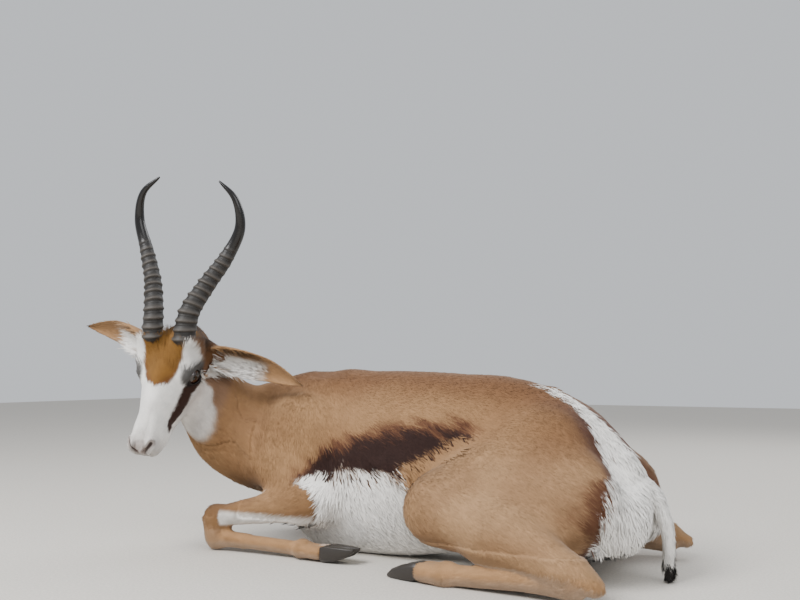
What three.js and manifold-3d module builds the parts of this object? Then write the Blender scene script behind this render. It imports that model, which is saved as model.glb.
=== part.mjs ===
// A life-size springbok ram that lies on its chest, legs folded, with its head raised and turned to its left.
// Millimetres. +X runs from the shoulders back to the rump, +Y to the animal's right, +Z up.
// The origin is on the floor, under the middle of the chest.
// The flesh is one smooth distance field, turned into closed skins and parted with thin cuts.
// Horns, ears, hooves, eyes, tail and the long hair are swept from a few sizes.
import * as THREE from 'three';
import Module from 'manifold-3d';

const wasm = await Module();
wasm.setup();

// Driving dimensions.
const GAP = 0.3; // between neighbouring pieces
const TRUNK_LEAN = 6; // degrees that the spine leans to the animal's right
const HEAD_YAW = -18; // degrees that the face turns past the animal's left, towards its front
const FACE_TILT = 36; // degrees between the face and the vertical
const HEAD_ROLL = 6; // degrees that the crown leans to the animal's left
const EAR_LENGTH = 200;
const EAR_WIDTH = 56;
const EAR_SKIN = 3;
const HORN_RINGS = 13;
const EYE_RADIUS = 17;
const CLAW_LENGTH = 56;

const at = (x, y, z) => new THREE.Vector3(x, y, z);
const UP = at(0, 0, 1);
const RIGHT = at(0, 1, 0);
const BACK = at(1, 0, 0);
const radians = THREE.MathUtils.degToRad;
const cross = (a, b) => [a[1] * b[2] - a[2] * b[1], a[2] * b[0] - a[0] * b[2], a[0] * b[1] - a[1] * b[0]];
const minus = (a, b) => [a[0] - b[0], a[1] - b[1], a[2] - b[2]];
const dot = (a, b) => a[0] * b[0] + a[1] * b[1] + a[2] * b[2];

// A direction made square to another.
const square = (way, to) => way.clone().addScaledVector(to, -way.dot(to)).normalize();

// Joints of the legs. The right hind leg lies a little further back than the left one.
const foreJoints = (side, shift) => ({
  withers: at(12, side * 40, 258),
  shoulder: at(-92, side * 80, 178),
  elbow: at(22, side * 108, 92),
  knee: at(-150 + shift, side * 137, 40),
  fetlock: at(32 + shift, side * 128, 16),
  coronet: at(88 + shift, side * 128, 14),
});
const hindJoints = (side, shift) => ({
  hip: at(440, side * 70, 190),
  seat: at(552, side * 52, 96),
  stifle: at(306 + shift, side * 146, 108),
  calf: at(410 + shift, side * 170, 78),
  hock: at(528 + shift, side * 200, 40),
  heel: at(572 + shift, side * 206, 28),
  fetlock: at(338 + shift, side * 186, 16),
  coronet: at(284 + shift, side * 176, 15),
});
const LEFT = -1;
const RIGHT_SIDE = 1;
const FORE_LEFT = foreJoints(LEFT, 0);
const FORE_RIGHT = foreJoints(RIGHT_SIDE, 14);
const HIND_LEFT = hindJoints(LEFT, 0);
const HIND_RIGHT = hindJoints(RIGHT_SIDE, 26);

// The head's own frame: x to the animal's right, y towards the nose, z out of the forehead.
const BROW = at(-208, -199, 309); // midway between the eyes
const headAxes = new THREE.Matrix4()
  .makeRotationZ(radians(180 - HEAD_YAW))
  .multiply(new THREE.Matrix4().makeRotationY(radians(-HEAD_ROLL)))
  .multiply(new THREE.Matrix4().makeRotationX(radians(FACE_TILT - 90)));
const headPose = headAxes.clone().setPosition(BROW);
const onHead = (x, y, z) => at(x, y, z).applyMatrix4(headPose);
const headWay = (x, y, z) => at(x, y, z).transformDirection(headAxes);

// Distance fields. Each takes x, y, z and is negative inside.

// A tapered limb with round ends. A thinness under 1 flattens it along the direction across.
function limb(a, b, startRadius, endRadius, thinness = 1, across = RIGHT) {
  const run = b.clone().sub(a);
  const lengthSq = Math.max(run.lengthSq(), 1e-6);
  const stretch = 1 / thinness - 1;
  return (x, y, z) => {
    let dx = x - a.x;
    let dy = y - a.y;
    let dz = z - a.z;
    const along = (dx * run.x + dy * run.y + dz * run.z) / lengthSq;
    const t = Math.min(1, Math.max(0, along));
    dx -= t * run.x;
    dy -= t * run.y;
    dz -= t * run.z;
    const more = stretch * (dx * across.x + dy * across.y + dz * across.z);
    dx += more * across.x;
    dy += more * across.y;
    dz += more * across.z;
    return Math.sqrt(dx * dx + dy * dy + dz * dz) - (startRadius + t * (endRadius - startRadius));
  };
}

const ball = (centre, radius) => limb(centre, centre, radius, radius);

// An egg with half sizes along three directions.
function egg(centre, halves, ways = [BACK, RIGHT, UP]) {
  const least = Math.min(...halves);
  return (x, y, z) => {
    const p = [x - centre.x, y - centre.y, z - centre.z];
    let scaled = 0;
    for (let i = 0; i < 3; i++) {
      const s = (p[0] * ways[i].x + p[1] * ways[i].y + p[2] * ways[i].z) / halves[i];
      scaled += s * s;
    }
    const ratio = Math.sqrt(scaled);
    if (ratio < 1e-6) return -least;
    return Math.hypot(...p) * (1 - 1 / ratio);
  };
}

const SWEEP_STEPS = 72;

// A body swept along a smooth curve through stations [point, half height, half width], with oval sections.
function sweep(stations, up) {
  const spine = new THREE.CatmullRomCurve3(stations.map((s) => s[0]), false, 'catmullrom', 0.5);
  const sizes = new THREE.CatmullRomCurve3(stations.map((s) => at(s[1], s[2], 0)), false, 'catmullrom', 0.5);
  const rings = [];
  for (let i = 0; i <= SWEEP_STEPS; i++) {
    const t = i / SWEEP_STEPS;
    const size = sizes.getPoint(t);
    const way = spine.getTangent(t).normalize();
    rings.push({ centre: spine.getPoint(t), tall: size.x, wide: size.y, way, high: square(up, way) });
  }
  return (x, y, z) => {
    let near = Infinity;
    let found = 0;
    for (let i = 0; i <= SWEEP_STEPS; i++) {
      const c = rings[i].centre;
      const d = (x - c.x) ** 2 + (y - c.y) ** 2 + (z - c.z) ** 2;
      if (d < near) {
        near = d;
        found = i;
      }
    }
    const first = Math.max(0, Math.min(SWEEP_STEPS - 1, found - 1));
    const last = Math.min(SWEEP_STEPS - 1, found);
    let best = Infinity;
    let value = 0;
    for (let i = first; i <= last; i++) {
      const a = rings[i];
      const b = rings[i + 1];
      const run = [b.centre.x - a.centre.x, b.centre.y - a.centre.y, b.centre.z - a.centre.z];
      const from = [x - a.centre.x, y - a.centre.y, z - a.centre.z];
      const t = Math.min(1, Math.max(0, dot(from, run) / dot(run, run)));
      const off = [from[0] - t * run[0], from[1] - t * run[1], from[2] - t * run[2]];
      const reach = Math.sqrt(dot(off, off));
      if (reach >= best) continue;
      best = reach;
      const mix = (p, q) => p + t * (q - p);
      const high = dot(off, [mix(a.high.x, b.high.x), mix(a.high.y, b.high.y), mix(a.high.z, b.high.z)]);
      const outside = (i === 0 && t === 0) || (i === SWEEP_STEPS - 1 && t === 1);
      const ends = outside ? dot(off, [mix(a.way.x, b.way.x), mix(a.way.y, b.way.y), mix(a.way.z, b.way.z)]) : 0;
      const side = Math.sqrt(Math.max(0, reach * reach - high * high - ends * ends));
      const tall = mix(a.tall, b.tall);
      const wide = mix(a.wide, b.wide);
      const least = Math.min(tall, wide);
      const ratio = Math.sqrt((high / tall) ** 2 + (side / wide) ** 2 + (ends / (0.8 * least)) ** 2);
      value = ratio < 1e-6 ? -least : reach * (1 - 1 / ratio);
    }
    return value;
  };
}

// Smooth union of fields: they melt into each other over the given width.
function melt(width, ...fields) {
  return (x, y, z) => {
    let value = fields[0](x, y, z);
    for (let i = 1; i < fields.length; i++) {
      const other = fields[i](x, y, z);
      const share = Math.max(width - Math.abs(value - other), 0) / width;
      value = Math.min(value, other) - share * share * width * 0.25;
    }
    return value;
  };
}

// Smooth removal of one field from another.
function carve(width, field, tool) {
  return (x, y, z) => {
    const value = field(x, y, z);
    const other = -tool(x, y, z);
    const share = Math.max(width - Math.abs(value - other), 0) / width;
    return Math.max(value, other) + share * share * width * 0.25;
  };
}

// The field kept inside a box.
function inside(field, low, high) {
  return (x, y, z) => {
    const out = Math.max(low.x - x, x - high.x, low.y - y, y - high.y, low.z - z, z - high.z);
    return Math.max(field(x, y, z), out);
  };
}

// Surface nets: one point in each cell that the field's surface crosses, one quad for each crossed edge.
function skinOf(field, low, high, step) {
  const count = ['x', 'y', 'z'].map((k) => Math.ceil((high[k] - low[k]) / step) + 3);
  const [nx, ny, nz] = count;
  const place = (i, j, k) => [low.x + (i - 1) * step, low.y + (j - 1) * step, low.z + (k - 1) * step];
  const index = (i, j, k) => (k * ny + j) * nx + i;
  const values = new Float32Array(nx * ny * nz);
  for (let k = 0; k < nz; k++)
    for (let j = 0; j < ny; j++)
      for (let i = 0; i < nx; i++) values[index(i, j, k)] = field(...place(i, j, k));
  const inner = (n) => values[n] < 0;
  // Where two folds would touch along an edge, the narrow gap between them is filled.
  for (let filled = true; filled; ) {
    filled = false;
    for (let n = 0; n < values.length - nx * ny - nx - 1; n++)
      for (const [p, q] of [[1, nx], [1, nx * ny], [nx, nx * ny]]) {
        if (inner(n) !== inner(n + p + q) || inner(n + p) !== inner(n + q) || inner(n) === inner(n + p)) continue;
        const pair = inner(n) ? [n + p, n + q] : [n, n + p + q];
        values[values[pair[0]] < values[pair[1]] ? pair[0] : pair[1]] = -0.02 * step;
        filled = true;
      }
  }
  const owner = new Int32Array(nx * ny * nz).fill(-1);
  const points = [];
  const corners = [0, 1, 2, 3, 4, 5, 6, 7].map((c) => [c & 1, (c >> 1) & 1, c >> 2]);
  for (let k = 0; k < nz - 1; k++)
    for (let j = 0; j < ny - 1; j++)
      for (let i = 0; i < nx - 1; i++) {
        const v = corners.map(([a, b, c]) => values[index(i + a, j + b, k + c)]);
        const within = v.filter((d) => d < 0).length;
        if (within === 0 || within === 8) continue;
        const sum = [0, 0, 0];
        let crossings = 0;
        for (let a = 0; a < 8; a++)
          for (const bit of [1, 2, 4]) {
            const b = a | bit;
            if (a & bit || v[a] < 0 === v[b] < 0) continue;
            const t = v[a] / (v[a] - v[b]);
            for (let d = 0; d < 3; d++) sum[d] += corners[a][d] + t * (corners[b][d] - corners[a][d]);
            crossings++;
          }
        owner[index(i, j, k)] = points.length;
        const base = place(i, j, k);
        points.push(base.map((c, d) => c + (step * sum[d]) / crossings));
      }
  points.forEach((p) => settle(p, field, step));
  const faces = [];
  const far = (a, b) => Math.hypot(...points[a].map((c, d) => c - points[b][d]));
  const quad = (a, b, c, d) => {
    if (far(a, c) < far(b, d)) faces.push([a, b, c], [a, c, d]);
    else faces.push([a, b, d], [b, c, d]);
  };
  for (let k = 1; k < nz - 1; k++)
    for (let j = 1; j < ny - 1; j++)
      for (let i = 1; i < nx - 1; i++) {
        const here = values[index(i, j, k)] < 0;
        const cell = (a, b, c) => owner[index(i - a, j - b, k - c)];
        if (here !== values[index(i + 1, j, k)] < 0) {
          const ring = [cell(0, 0, 0), cell(0, 1, 0), cell(0, 1, 1), cell(0, 0, 1)];
          quad(...(here ? ring : ring.reverse()));
        }
        if (here !== values[index(i, j + 1, k)] < 0) {
          const ring = [cell(0, 0, 0), cell(0, 0, 1), cell(1, 0, 1), cell(1, 0, 0)];
          quad(...(here ? ring : ring.reverse()));
        }
        if (here !== values[index(i, j, k + 1)] < 0) {
          const ring = [cell(0, 0, 0), cell(1, 0, 0), cell(1, 1, 0), cell(0, 1, 0)];
          quad(...(here ? ring : ring.reverse()));
        }
      }
  return { points, faces };
}

// The field's slope at a point, by differences over a small distance.
function slope(p, field) {
  const e = 0.5;
  return [0, 1, 2].map((d) => {
    const more = [...p];
    const less = [...p];
    more[d] += e;
    less[d] -= e;
    return (field(...more) - field(...less)) / (2 * e);
  });
}

// Moves a point onto the field's surface, by half a cell at most.
function settle(p, field, step) {
  for (let turn = 0; turn < 2; turn++) {
    const value = field(...p);
    const g = slope(p, field);
    const sq = g[0] ** 2 + g[1] ** 2 + g[2] ** 2;
    if (sq < 1e-4) return;
    const move = Math.min(Math.abs(value) / Math.sqrt(sq), step / 2) * Math.sign(value);
    for (let d = 0; d < 3; d++) p[d] -= (move * g[d]) / Math.sqrt(sq);
  }
}

const EVENNESS = 0.004; // share of an edge's length squared in its cost, so that flat places keep even triangles
const SLIVER = 0.02; // twice the area below which a face counts as having no direction
const FOLD_LIMIT = 0.3; // least cosine between a face's normals before and after a collapse

// Fewer triangles: edges whose loss moves the surface least collapse first, and the mesh stays closed.
// It stops at the wanted count, or where the next collapse costs more than the limit.
function thin({ points, faces }, wanted, limit = Infinity) {
  const pts = points.map((p) => [...p]);
  let tris = faces;
  const planes = pts.map(() => new Float64Array(10));
  for (const [a, b, c] of tris) {
    const n = cross(minus(pts[b], pts[a]), minus(pts[c], pts[a]));
    const size = Math.hypot(...n) || 1;
    const [x, y, z] = n.map((v) => v / size);
    const w = -(x * pts[a][0] + y * pts[a][1] + z * pts[a][2]);
    const q = [x * x, x * y, x * z, x * w, y * y, y * z, y * w, z * z, z * w, w * w];
    for (const v of [a, b, c]) for (let i = 0; i < 10; i++) planes[v][i] += q[i];
  }
  const error = (q, [x, y, z]) =>
    q[0] * x * x + 2 * q[1] * x * y + 2 * q[2] * x * z + 2 * q[3] * x + q[4] * y * y + 2 * q[5] * y * z +
    2 * q[6] * y + q[7] * z * z + 2 * q[8] * z + q[9];
  const target = (a, b) => {
    const q = planes[a].map((v, i) => v + planes[b][i]);
    const middle = pts[a].map((v, i) => (v + pts[b][i]) / 2);
    const choices = [middle, pts[a], pts[b]];
    const det =
      q[0] * (q[4] * q[7] - q[5] * q[5]) - q[1] * (q[1] * q[7] - q[5] * q[2]) + q[2] * (q[1] * q[5] - q[4] * q[2]);
    const edge = Math.hypot(...minus(pts[a], pts[b]));
    if (Math.abs(det) > 1e-3) {
      const r = [-q[3], -q[6], -q[8]];
      const best = [
        (r[0] * (q[4] * q[7] - q[5] * q[5]) - q[1] * (r[1] * q[7] - q[5] * r[2]) + q[2] * (r[1] * q[5] - q[4] * r[2])) / det,
        (q[0] * (r[1] * q[7] - r[2] * q[5]) - r[0] * (q[1] * q[7] - q[5] * q[2]) + q[2] * (q[1] * r[2] - r[1] * q[2])) / det,
        (q[0] * (q[4] * r[2] - q[5] * r[1]) - q[1] * (q[1] * r[2] - r[1] * q[2]) + r[0] * (q[1] * q[5] - q[4] * q[2])) / det,
      ];
      if (Math.hypot(...minus(best, middle)) < edge) choices.push(best);
    }
    let chosen = choices[0];
    for (const c of choices) if (error(q, c) < error(q, chosen)) chosen = c;
    return { a, b, spot: chosen, cost: Math.max(0, error(q, chosen)) + EVENNESS * edge * edge };
  };
  while (tris.length > wanted) {
    const around = pts.map(() => []);
    tris.forEach((t, i) => t.forEach((v) => around[v].push(i)));
    const ring = around.map((list) => new Set(list.flatMap((i) => tris[i])));
    const edges = [];
    for (const [a, b, c] of tris) for (const [u, v] of [[a, b], [b, c], [c, a]]) if (u < v) edges.push(target(u, v));
    edges.sort((e, f) => e.cost - f.cost);
    const busy = new Uint8Array(pts.length);
    const into = new Map();
    const most = Math.min((tris.length - wanted) / 2, edges.length * 0.06) + 1;
    for (const { a, b, spot, cost } of edges) {
      if (into.size >= most || cost > limit) break;
      if ([...ring[a], ...ring[b]].some((v) => busy[v])) continue;
      if ([...ring[a]].filter((v) => v !== a && v !== b && ring[b].has(v)).length !== 2) continue;
      const folds = [a, b].some((v) =>
        around[v].some((i) => {
          const t = tris[i];
          if (t.includes(a) && t.includes(b)) return false;
          const [p, q, r] = t.map((w) => pts[w]);
          const [s, u, w] = t.map((k) => (k === v ? spot : pts[k]));
          const before = cross(minus(q, p), minus(r, p));
          const after = cross(minus(u, s), minus(w, s));
          if (Math.hypot(...before) < SLIVER) return false;
          return dot(before, after) < FOLD_LIMIT * Math.hypot(...before) * Math.hypot(...after) + 1e-9;
        }),
      );
      if (folds) continue;
      for (const v of [...ring[a], ...ring[b]]) busy[v] = 1;
      pts[a] = spot;
      for (let i = 0; i < 10; i++) planes[a][i] += planes[b][i];
      into.set(b, a);
    }
    if (!into.size) break;
    tris = tris.map((t) => t.map((v) => into.get(v) ?? v)).filter(([a, b, c]) => a !== b && b !== c && c !== a);
  }
  const used = new Map();
  for (const v of tris.flat()) if (!used.has(v)) used.set(v, used.size);
  const kept = [];
  for (const [v, i] of used) kept[i] = pts[v];
  return { points: kept, faces: tris.map((t) => t.map((v) => used.get(v))) };
}

// A closed mesh as a solid for cutting and joining.
function solidOf({ points, faces }) {
  return new wasm.Manifold(
    new wasm.Mesh({ numProp: 3, vertProperties: new Float32Array(points.flat()), triVerts: new Uint32Array(faces.flat()) }),
  );
}

function solidOfGeometry(geometry) {
  const keys = new Map();
  const points = [];
  const position = geometry.getAttribute('position');
  const order = geometry.index ? [...geometry.index.array] : [...Array(position.count).keys()];
  const merged = order.map((i) => {
    const p = [position.getX(i), position.getY(i), position.getZ(i)];
    const key = p.map((v) => Math.round(v * 1000)).join();
    if (!keys.has(key)) {
      keys.set(key, points.length);
      points.push(p);
    }
    return keys.get(key);
  });
  const faces = [];
  for (let i = 0; i < merged.length; i += 3) {
    const [a, b, c] = merged.slice(i, i + 3);
    if (a !== b && b !== c && c !== a) faces.push([a, b, c]);
  }
  return solidOf({ points, faces });
}

const HUGE = 3000;

// Everything on the side of a plane that its direction points to.
function beyond(point, way) {
  const box = new THREE.BoxGeometry(HUGE, HUGE, HUGE).translate(0, 0, HUGE / 2);
  box.applyQuaternion(new THREE.Quaternion().setFromUnitVectors(UP, way.clone().normalize()));
  return solidOfGeometry(box.translate(point.x, point.y, point.z));
}

// The largest closed surface of a solid.
function largest(solid) {
  const pieces = solid.decompose();
  return pieces.reduce((a, b) => (b.volume() > a.volume() ? b : a));
}

// A region bounded by planes, each [point, direction into the region]. Grown, it reaches past them by the gap.
function region(planes, grown = 0) {
  return planes
    .map(([p, way]) => beyond(p.clone().addScaledVector(way.clone().normalize(), -grown), way))
    .reduce((a, b) => a.intersect(b));
}

// Takes a region out of a solid: first the piece inside, then the rest.
const lift = (solid, planes) => [solid.intersect(region(planes)), solid.subtract(region(planes, GAP))];

// Joins rings of points into a closed skin, with a point at each end.
function loft(rings, startPoint, endPoint) {
  const points = rings.flat().map((p) => [p.x, p.y, p.z]);
  const sides = rings[0].length;
  const faces = [];
  for (let i = 0; i < rings.length - 1; i++)
    for (let j = 0; j < sides; j++) {
      const a = i * sides + j;
      const b = i * sides + ((j + 1) % sides);
      faces.push([a, b, b + sides], [a, b + sides, a + sides]);
    }
  const start = points.push(startPoint.toArray()) - 1;
  const end = points.push(endPoint.toArray()) - 1;
  const last = (rings.length - 1) * sides;
  for (let j = 0; j < sides; j++) {
    faces.push([start, (j + 1) % sides, j]);
    faces.push([end, last + j, last + ((j + 1) % sides)]);
  }
  const made = solidOf({ points, faces });
  return made.volume() > 0 ? made : solidOf({ points, faces: faces.map(([a, b, c]) => [a, c, b]) });
}

// An oval ring of points about a centre.
function ovalRing(centre, way, halfWay, side, halfSide, sides) {
  return Array.from({ length: sides }, (_, i) => {
    const angle = (2 * Math.PI * i) / sides;
    return centre
      .clone()
      .addScaledVector(way, halfWay * Math.cos(angle))
      .addScaledVector(side, halfSide * Math.sin(angle));
  });
}

// The trunk, from breast to seat.
const spineUp = at(0, Math.sin(radians(TRUNK_LEAN)), Math.cos(radians(TRUNK_LEAN)));
const trunk = sweep(
  [
    [at(-98, 4, 164), 72, 60],
    [at(-52, 6, 159), 124, 82],
    [at(12, 8, 157), 164, 98],
    [at(95, 8, 157), 163, 112],
    [at(180, 8, 160), 160, 120],
    [at(265, 8, 167), 150, 114],
    [at(345, 8, 176), 136, 98],
    [at(415, 8, 170), 120, 86],
    [at(470, 8, 154), 102, 78],
    [at(520, 8, 132), 80, 66],
    [at(552, 8, 112), 56, 50],
  ],
  spineUp,
);

// The neck bends from the chest round to the animal's left and up to the head.
const neck = melt(
  26,
  sweep(
    [
      [at(-30, 6, 212), 108, 76],
      [at(-106, -26, 197), 104, 68],
      [at(-158, -72, 216), 92, 60],
      [at(-188, -112, 264), 68, 51],
      [at(-206, -138, 316), 52, 45],
    ],
    UP,
  ),
  limb(at(-192, -108, 290), onHead(0, -76, 0), 44, 30),
);

// Shoulder blade and upper arm of one side.
function shoulder({ withers, shoulder: point, elbow }, side) {
  return melt(
    30,
    limb(withers, point, 36, 50, 0.6),
    limb(point, elbow, 50, 38, 0.75),
    egg(at(-8, side * 80, 196), [74, 34, 80]),
  );
}

// Forearm and knee of one side.
function forearm({ elbow, knee }) {
  const near = (x, z) => knee.clone().add(at(x, 0, z));
  return melt(
    14,
    limb(elbow, near(14, 22), 34, 19),
    limb(near(-2, 16), near(2, -17), 26, 24, 0.85),
    ball(elbow.clone().add(at(24, 0, 4)), 20),
  );
}

// Haunch, thigh and shank of one side.
function thigh({ hip, seat, stifle, calf, hock, heel }, side) {
  const outward = at(0, side * 0.86, 0.5);
  const upward = at(0, -side * 0.5, 0.86);
  const shift = stifle.x - 306;
  return melt(
    30,
    egg(at(432 + shift * 0.5, side * 104, 130), [136, 56, 96], [BACK, outward, upward]),
    limb(hip, stifle, 78, 52, 0.62, outward),
    limb(seat, at(430 + shift, side * 150, 72), 48, 40, 0.85),
    limb(stifle, calf, 48, 40),
    limb(calf, hock, 38, 21),
    limb(at(450 + shift, side * 176, 82), heel, 22, 13),
  );
}

// One lower leg: cannon, fetlock and a pastern for each claw.
function cannon(top, fetlock, coronet, topRadius) {
  const outward = square(RIGHT, coronet.clone().sub(fetlock).normalize()).multiplyScalar(9.4);
  const shin = top.clone().lerp(fetlock, 0.3);
  return melt(
    7,
    limb(top, shin, topRadius, 12.5),
    limb(shin, fetlock, 12.5, 12),
    ball(fetlock, 15),
    limb(fetlock.clone().add(outward), coronet.clone().add(outward), 11.5, 11),
    limb(fetlock.clone().sub(outward), coronet.clone().sub(outward), 11.5, 11),
    ball(fetlock.clone().add(at(0, 0, 5)), 12),
  );
}

const EYE_SEAT = [40, 0, 9]; // of the right eye, in the head's frame
const eyeCentre = (s) => onHead(s * EYE_SEAT[0], EYE_SEAT[1], EYE_SEAT[2]);
const HORN_SEAT = [32, -34, 48]; // of the right horn
const hornSeat = (s) => onHead(s * HORN_SEAT[0], HORN_SEAT[1], HORN_SEAT[2]);
const hornWay = (s) => headWay(s * 0.14, -0.72, 0.69);

// The head, in its own frame.
function skull() {
  const pair = (make) => [make(-1), make(1)];
  const face = sweep(
    [
      [onHead(0, -80, -6), 36, 38],
      [onHead(0, -48, 0), 50, 49],
      [onHead(0, 0, -6), 56, 51],
      [onHead(0, 45, -8), 45, 38],
      [onHead(0, 90, -10), 33, 26.5],
      [onHead(0, 122, -12), 25, 22],
      [onHead(0, 136, -13), 20, 19],
    ],
    headWay(0, 0, 1),
  );
  const brows = pair((s) => limb(onHead(s * 38, -22, 26), onHead(s * 41, 12, 22), 16, 14));
  const cheeks = pair((s) => limb(onHead(s * 42, 4, -16), onHead(s * 26, 66, -16), 14, 9));
  const jaws = pair((s) => limb(onHead(s * 24, -22, -46), onHead(s * 9, 118, -32), 24, 10));
  const nostrils = pair((s) => ball(onHead(s * 11, 139, -5), 11));
  const lips = pair((s) => limb(onHead(s * 13, 100, -22), onHead(s * 9, 136, -22), 12, 10));
  const sockets = pair((s) => ball(eyeCentre(s), EYE_RADIUS + 3.2));
  const hornRoots = pair((s) => limb(onHead(s * 26, -20, 16), hornSeat(s).addScaledVector(hornWay(s), 14), 25, 23.5));
  return melt(
    12,
    face,
    ...brows,
    ...cheeks,
    ...jaws,
    ...nostrils,
    ...lips,
    ...sockets,
    ...hornRoots,
    earRoot(LEFT_EAR),
    earRoot(RIGHT_EAR),
    limb(onHead(0, 20, 30), onHead(0, 128, 0), 14, 11),
    limb(onHead(0, 112, -34), onHead(0, 128, -32), 11, 11),
  );
}

// Ears: where each grows, the way it points, and the way its cup opens.
const LEFT_EAR = {
  base: onHead(-46, -60, 4),
  way: at(0.9, 0.2, -0.3).normalize(),
  open: at(0.3, -0.85, -0.42),
};
const RIGHT_EAR = {
  base: onHead(46, -60, 4),
  way: at(-0.97, 0.06, 0.2).normalize(),
  open: at(-0.1, -0.9, -0.35),
};
const EAR_ROOT = 17; // from inside the head to where the cup opens

const earRoot = ({ base, way }) => limb(base, base.clone().addScaledVector(way, EAR_ROOT), 17, 11);

// The cupped shell of an ear, a crescent section swept from root to tip.
function earShell({ base, way, open }) {
  const stations = 13;
  const across = 8;
  const opening = square(open, way);
  const wide = way.clone().cross(opening);
  const outer = [];
  const inner = [];
  for (let i = 0; i <= stations; i++) {
    const s = i / stations;
    const leaf = Math.pow(Math.sin(Math.PI * Math.min(1, 0.17 + 0.83 * Math.pow(s, 0.82))), 0.75);
    const half = Math.max(1.6, (EAR_WIDTH / 2) * leaf);
    const wrap = THREE.MathUtils.lerp(118, 50, Math.min(1, s * 1.6));
    const radius = half / Math.sin(radians(Math.min(90, wrap)));
    const skin = THREE.MathUtils.lerp(EAR_SKIN, 1.2, s * s);
    const droop = 10 * Math.sin(Math.PI * s);
    const centre = base
      .clone()
      .addScaledVector(way, 14 + s * (EAR_LENGTH - 14))
      .addScaledVector(opening, -droop);
    for (const [list, r] of [[outer, radius], [inner, Math.max(radius - skin, 0.35 * radius)]])
      list.push(
        Array.from({ length: across + 1 }, (_, j) => {
          const angle = radians(wrap) * ((2 * j) / across - 1);
          return centre
            .clone()
            .addScaledVector(wide, r * Math.sin(angle))
            .addScaledVector(opening, radius * 0.55 - r * Math.cos(angle) * 0.85);
        }),
      );
  }
  const rings = outer.map((ring, i) => [...ring, ...[...inner[i]].reverse()]);
  return shellOf(rings, across + 1);
}

// A closed shell from rings that hold the outer points and then the inner ones, split alike on both faces.
function shellOf(rings, across) {
  const points = rings.flat().map((p) => p.toArray());
  const faces = [];
  const size = 2 * across;
  const twin = (j) => size - 1 - j;
  for (let i = 0; i < rings.length - 1; i++) {
    const a = i * size;
    const b = a + size;
    for (let j = 0; j < across - 1; j++) {
      faces.push([a + j, a + j + 1, b + j + 1], [a + j, b + j + 1, b + j]);
      const [p, q] = [twin(j), twin(j + 1)];
      faces.push([a + p, b + q, a + q], [a + p, b + p, b + q]);
    }
    faces.push([a + across - 1, a + across, b + across], [a + across - 1, b + across, b + across - 1]);
    faces.push([a + size - 1, a, b], [a + size - 1, b, b + size - 1]);
  }
  const last = (rings.length - 1) * size;
  for (let j = 0; j < across - 1; j++) {
    const [p, q] = [twin(j), twin(j + 1)];
    faces.push([j, q, j + 1], [j, p, q]);
    faces.push([last + j, last + j + 1, last + q], [last + j, last + q, last + p]);
  }
  const made = solidOf({ points, faces });
  return made.volume() > 0 ? made : solidOf({ points, faces: faces.map(([x, y, z]) => [x, z, y]) });
}

// Horn of one side: a lyre curve with raised rings over the lower part and a smooth, hooked tip.
// Each stop of its course is [outwards, forwards, upwards] from the middle of the crown.
const HORN_COURSE = [
  [27, -6, -28],
  [30, 6, 0],
  [34, 7, 58],
  [52, -12, 111],
  [79, -27, 168],
  [98, -24, 221],
  [89, -9, 268],
  [57, -3, 298],
];
const CROWN = onHead(0, HORN_SEAT[1], HORN_SEAT[2]);
const crownPose = new THREE.Matrix4()
  .makeRotationZ(radians(180 - HEAD_YAW))
  .multiply(new THREE.Matrix4().makeRotationY(radians(-HEAD_ROLL)))
  .setPosition(CROWN);
const HORN_RADIUS = 22;
const RINGED_SHARE = 0.64;

function horn(side) {
  const course = HORN_COURSE.map(([out, fore, up]) => at(side * out, fore, up).applyMatrix4(crownPose));
  const curve = new THREE.CatmullRomCurve3(course, false, 'centripetal');
  const sides = 10;
  const stops = [0];
  const pitch = (RINGED_SHARE - 0.12) / HORN_RINGS;
  for (let i = 0; i < HORN_RINGS; i++) for (const k of [0, 0.4, 0.7]) stops.push(0.12 + pitch * (i + k));
  for (const s of [0.7, 0.75, 0.8, 0.85, 0.9, 0.94, 0.97, 0.99]) stops.push(s);
  const rings = stops.map((s, i) => {
    const t = curve.getUtoTmapping(s);
    const way = curve.getTangent(t).normalize();
    const front = square(headWay(-side * 0.3, 0.55, 0.8), way);
    const flank = way.clone().cross(front);
    const body = (HORN_RADIUS - 1) * Math.pow(1 - s, 0.6) + 1;
    const rise = i > 0 && i <= 3 * HORN_RINGS ? 3.4 * [0.75, 0, 1][i % 3] * (1 - s * 0.7) : 0;
    return ovalRing(curve.getPoint(t), front, body + rise, flank, body * 0.86 + rise * 0.7, sides);
  });
  return loft(rings, curve.getPoint(0), curve.getPoint(1));
}

// One claw of a cloven hoof, from its coronet along the way to its tip. sole points out of the sole.
function claw(coronet, way, sole) {
  const toe = way.clone().normalize();
  const under = square(sole, toe);
  const flank = toe.clone().cross(under);
  const plan = [
    // share of the length, half width, top above the axis, sole below it
    [-0.16, 8.2, 12.5, 11],
    [0, 9.2, 13, 13.5],
    [0.4, 8.8, 8, 14],
    [0.75, 6.8, 0, 14],
    [0.96, 2.6, -9, 13.6],
  ];
  const outline = [[1, 0.75], [1, 0.1], [0.95, -0.6], [0.5, -1], [-0.5, -1], [-0.95, -0.6], [-1, 0.1], [-1, 0.75]];
  const rings = plan.map(([s, half, top, bottom]) => {
    const middle = (bottom - top) / 2;
    const high = (bottom + top) / 2;
    return outline.map(([x, z]) =>
      coronet
        .clone()
        .addScaledVector(toe, s * CLAW_LENGTH)
        .addScaledVector(flank, x * half)
        .addScaledVector(under, middle + high * (z > 0.7 ? 1 : z)),
    );
  });
  const end = (k) => rings[k].reduce((a, p) => a.add(p), at(0, 0, 0)).divideScalar(outline.length);
  return loft(rings, end(0), end(rings.length - 1));
}

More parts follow.
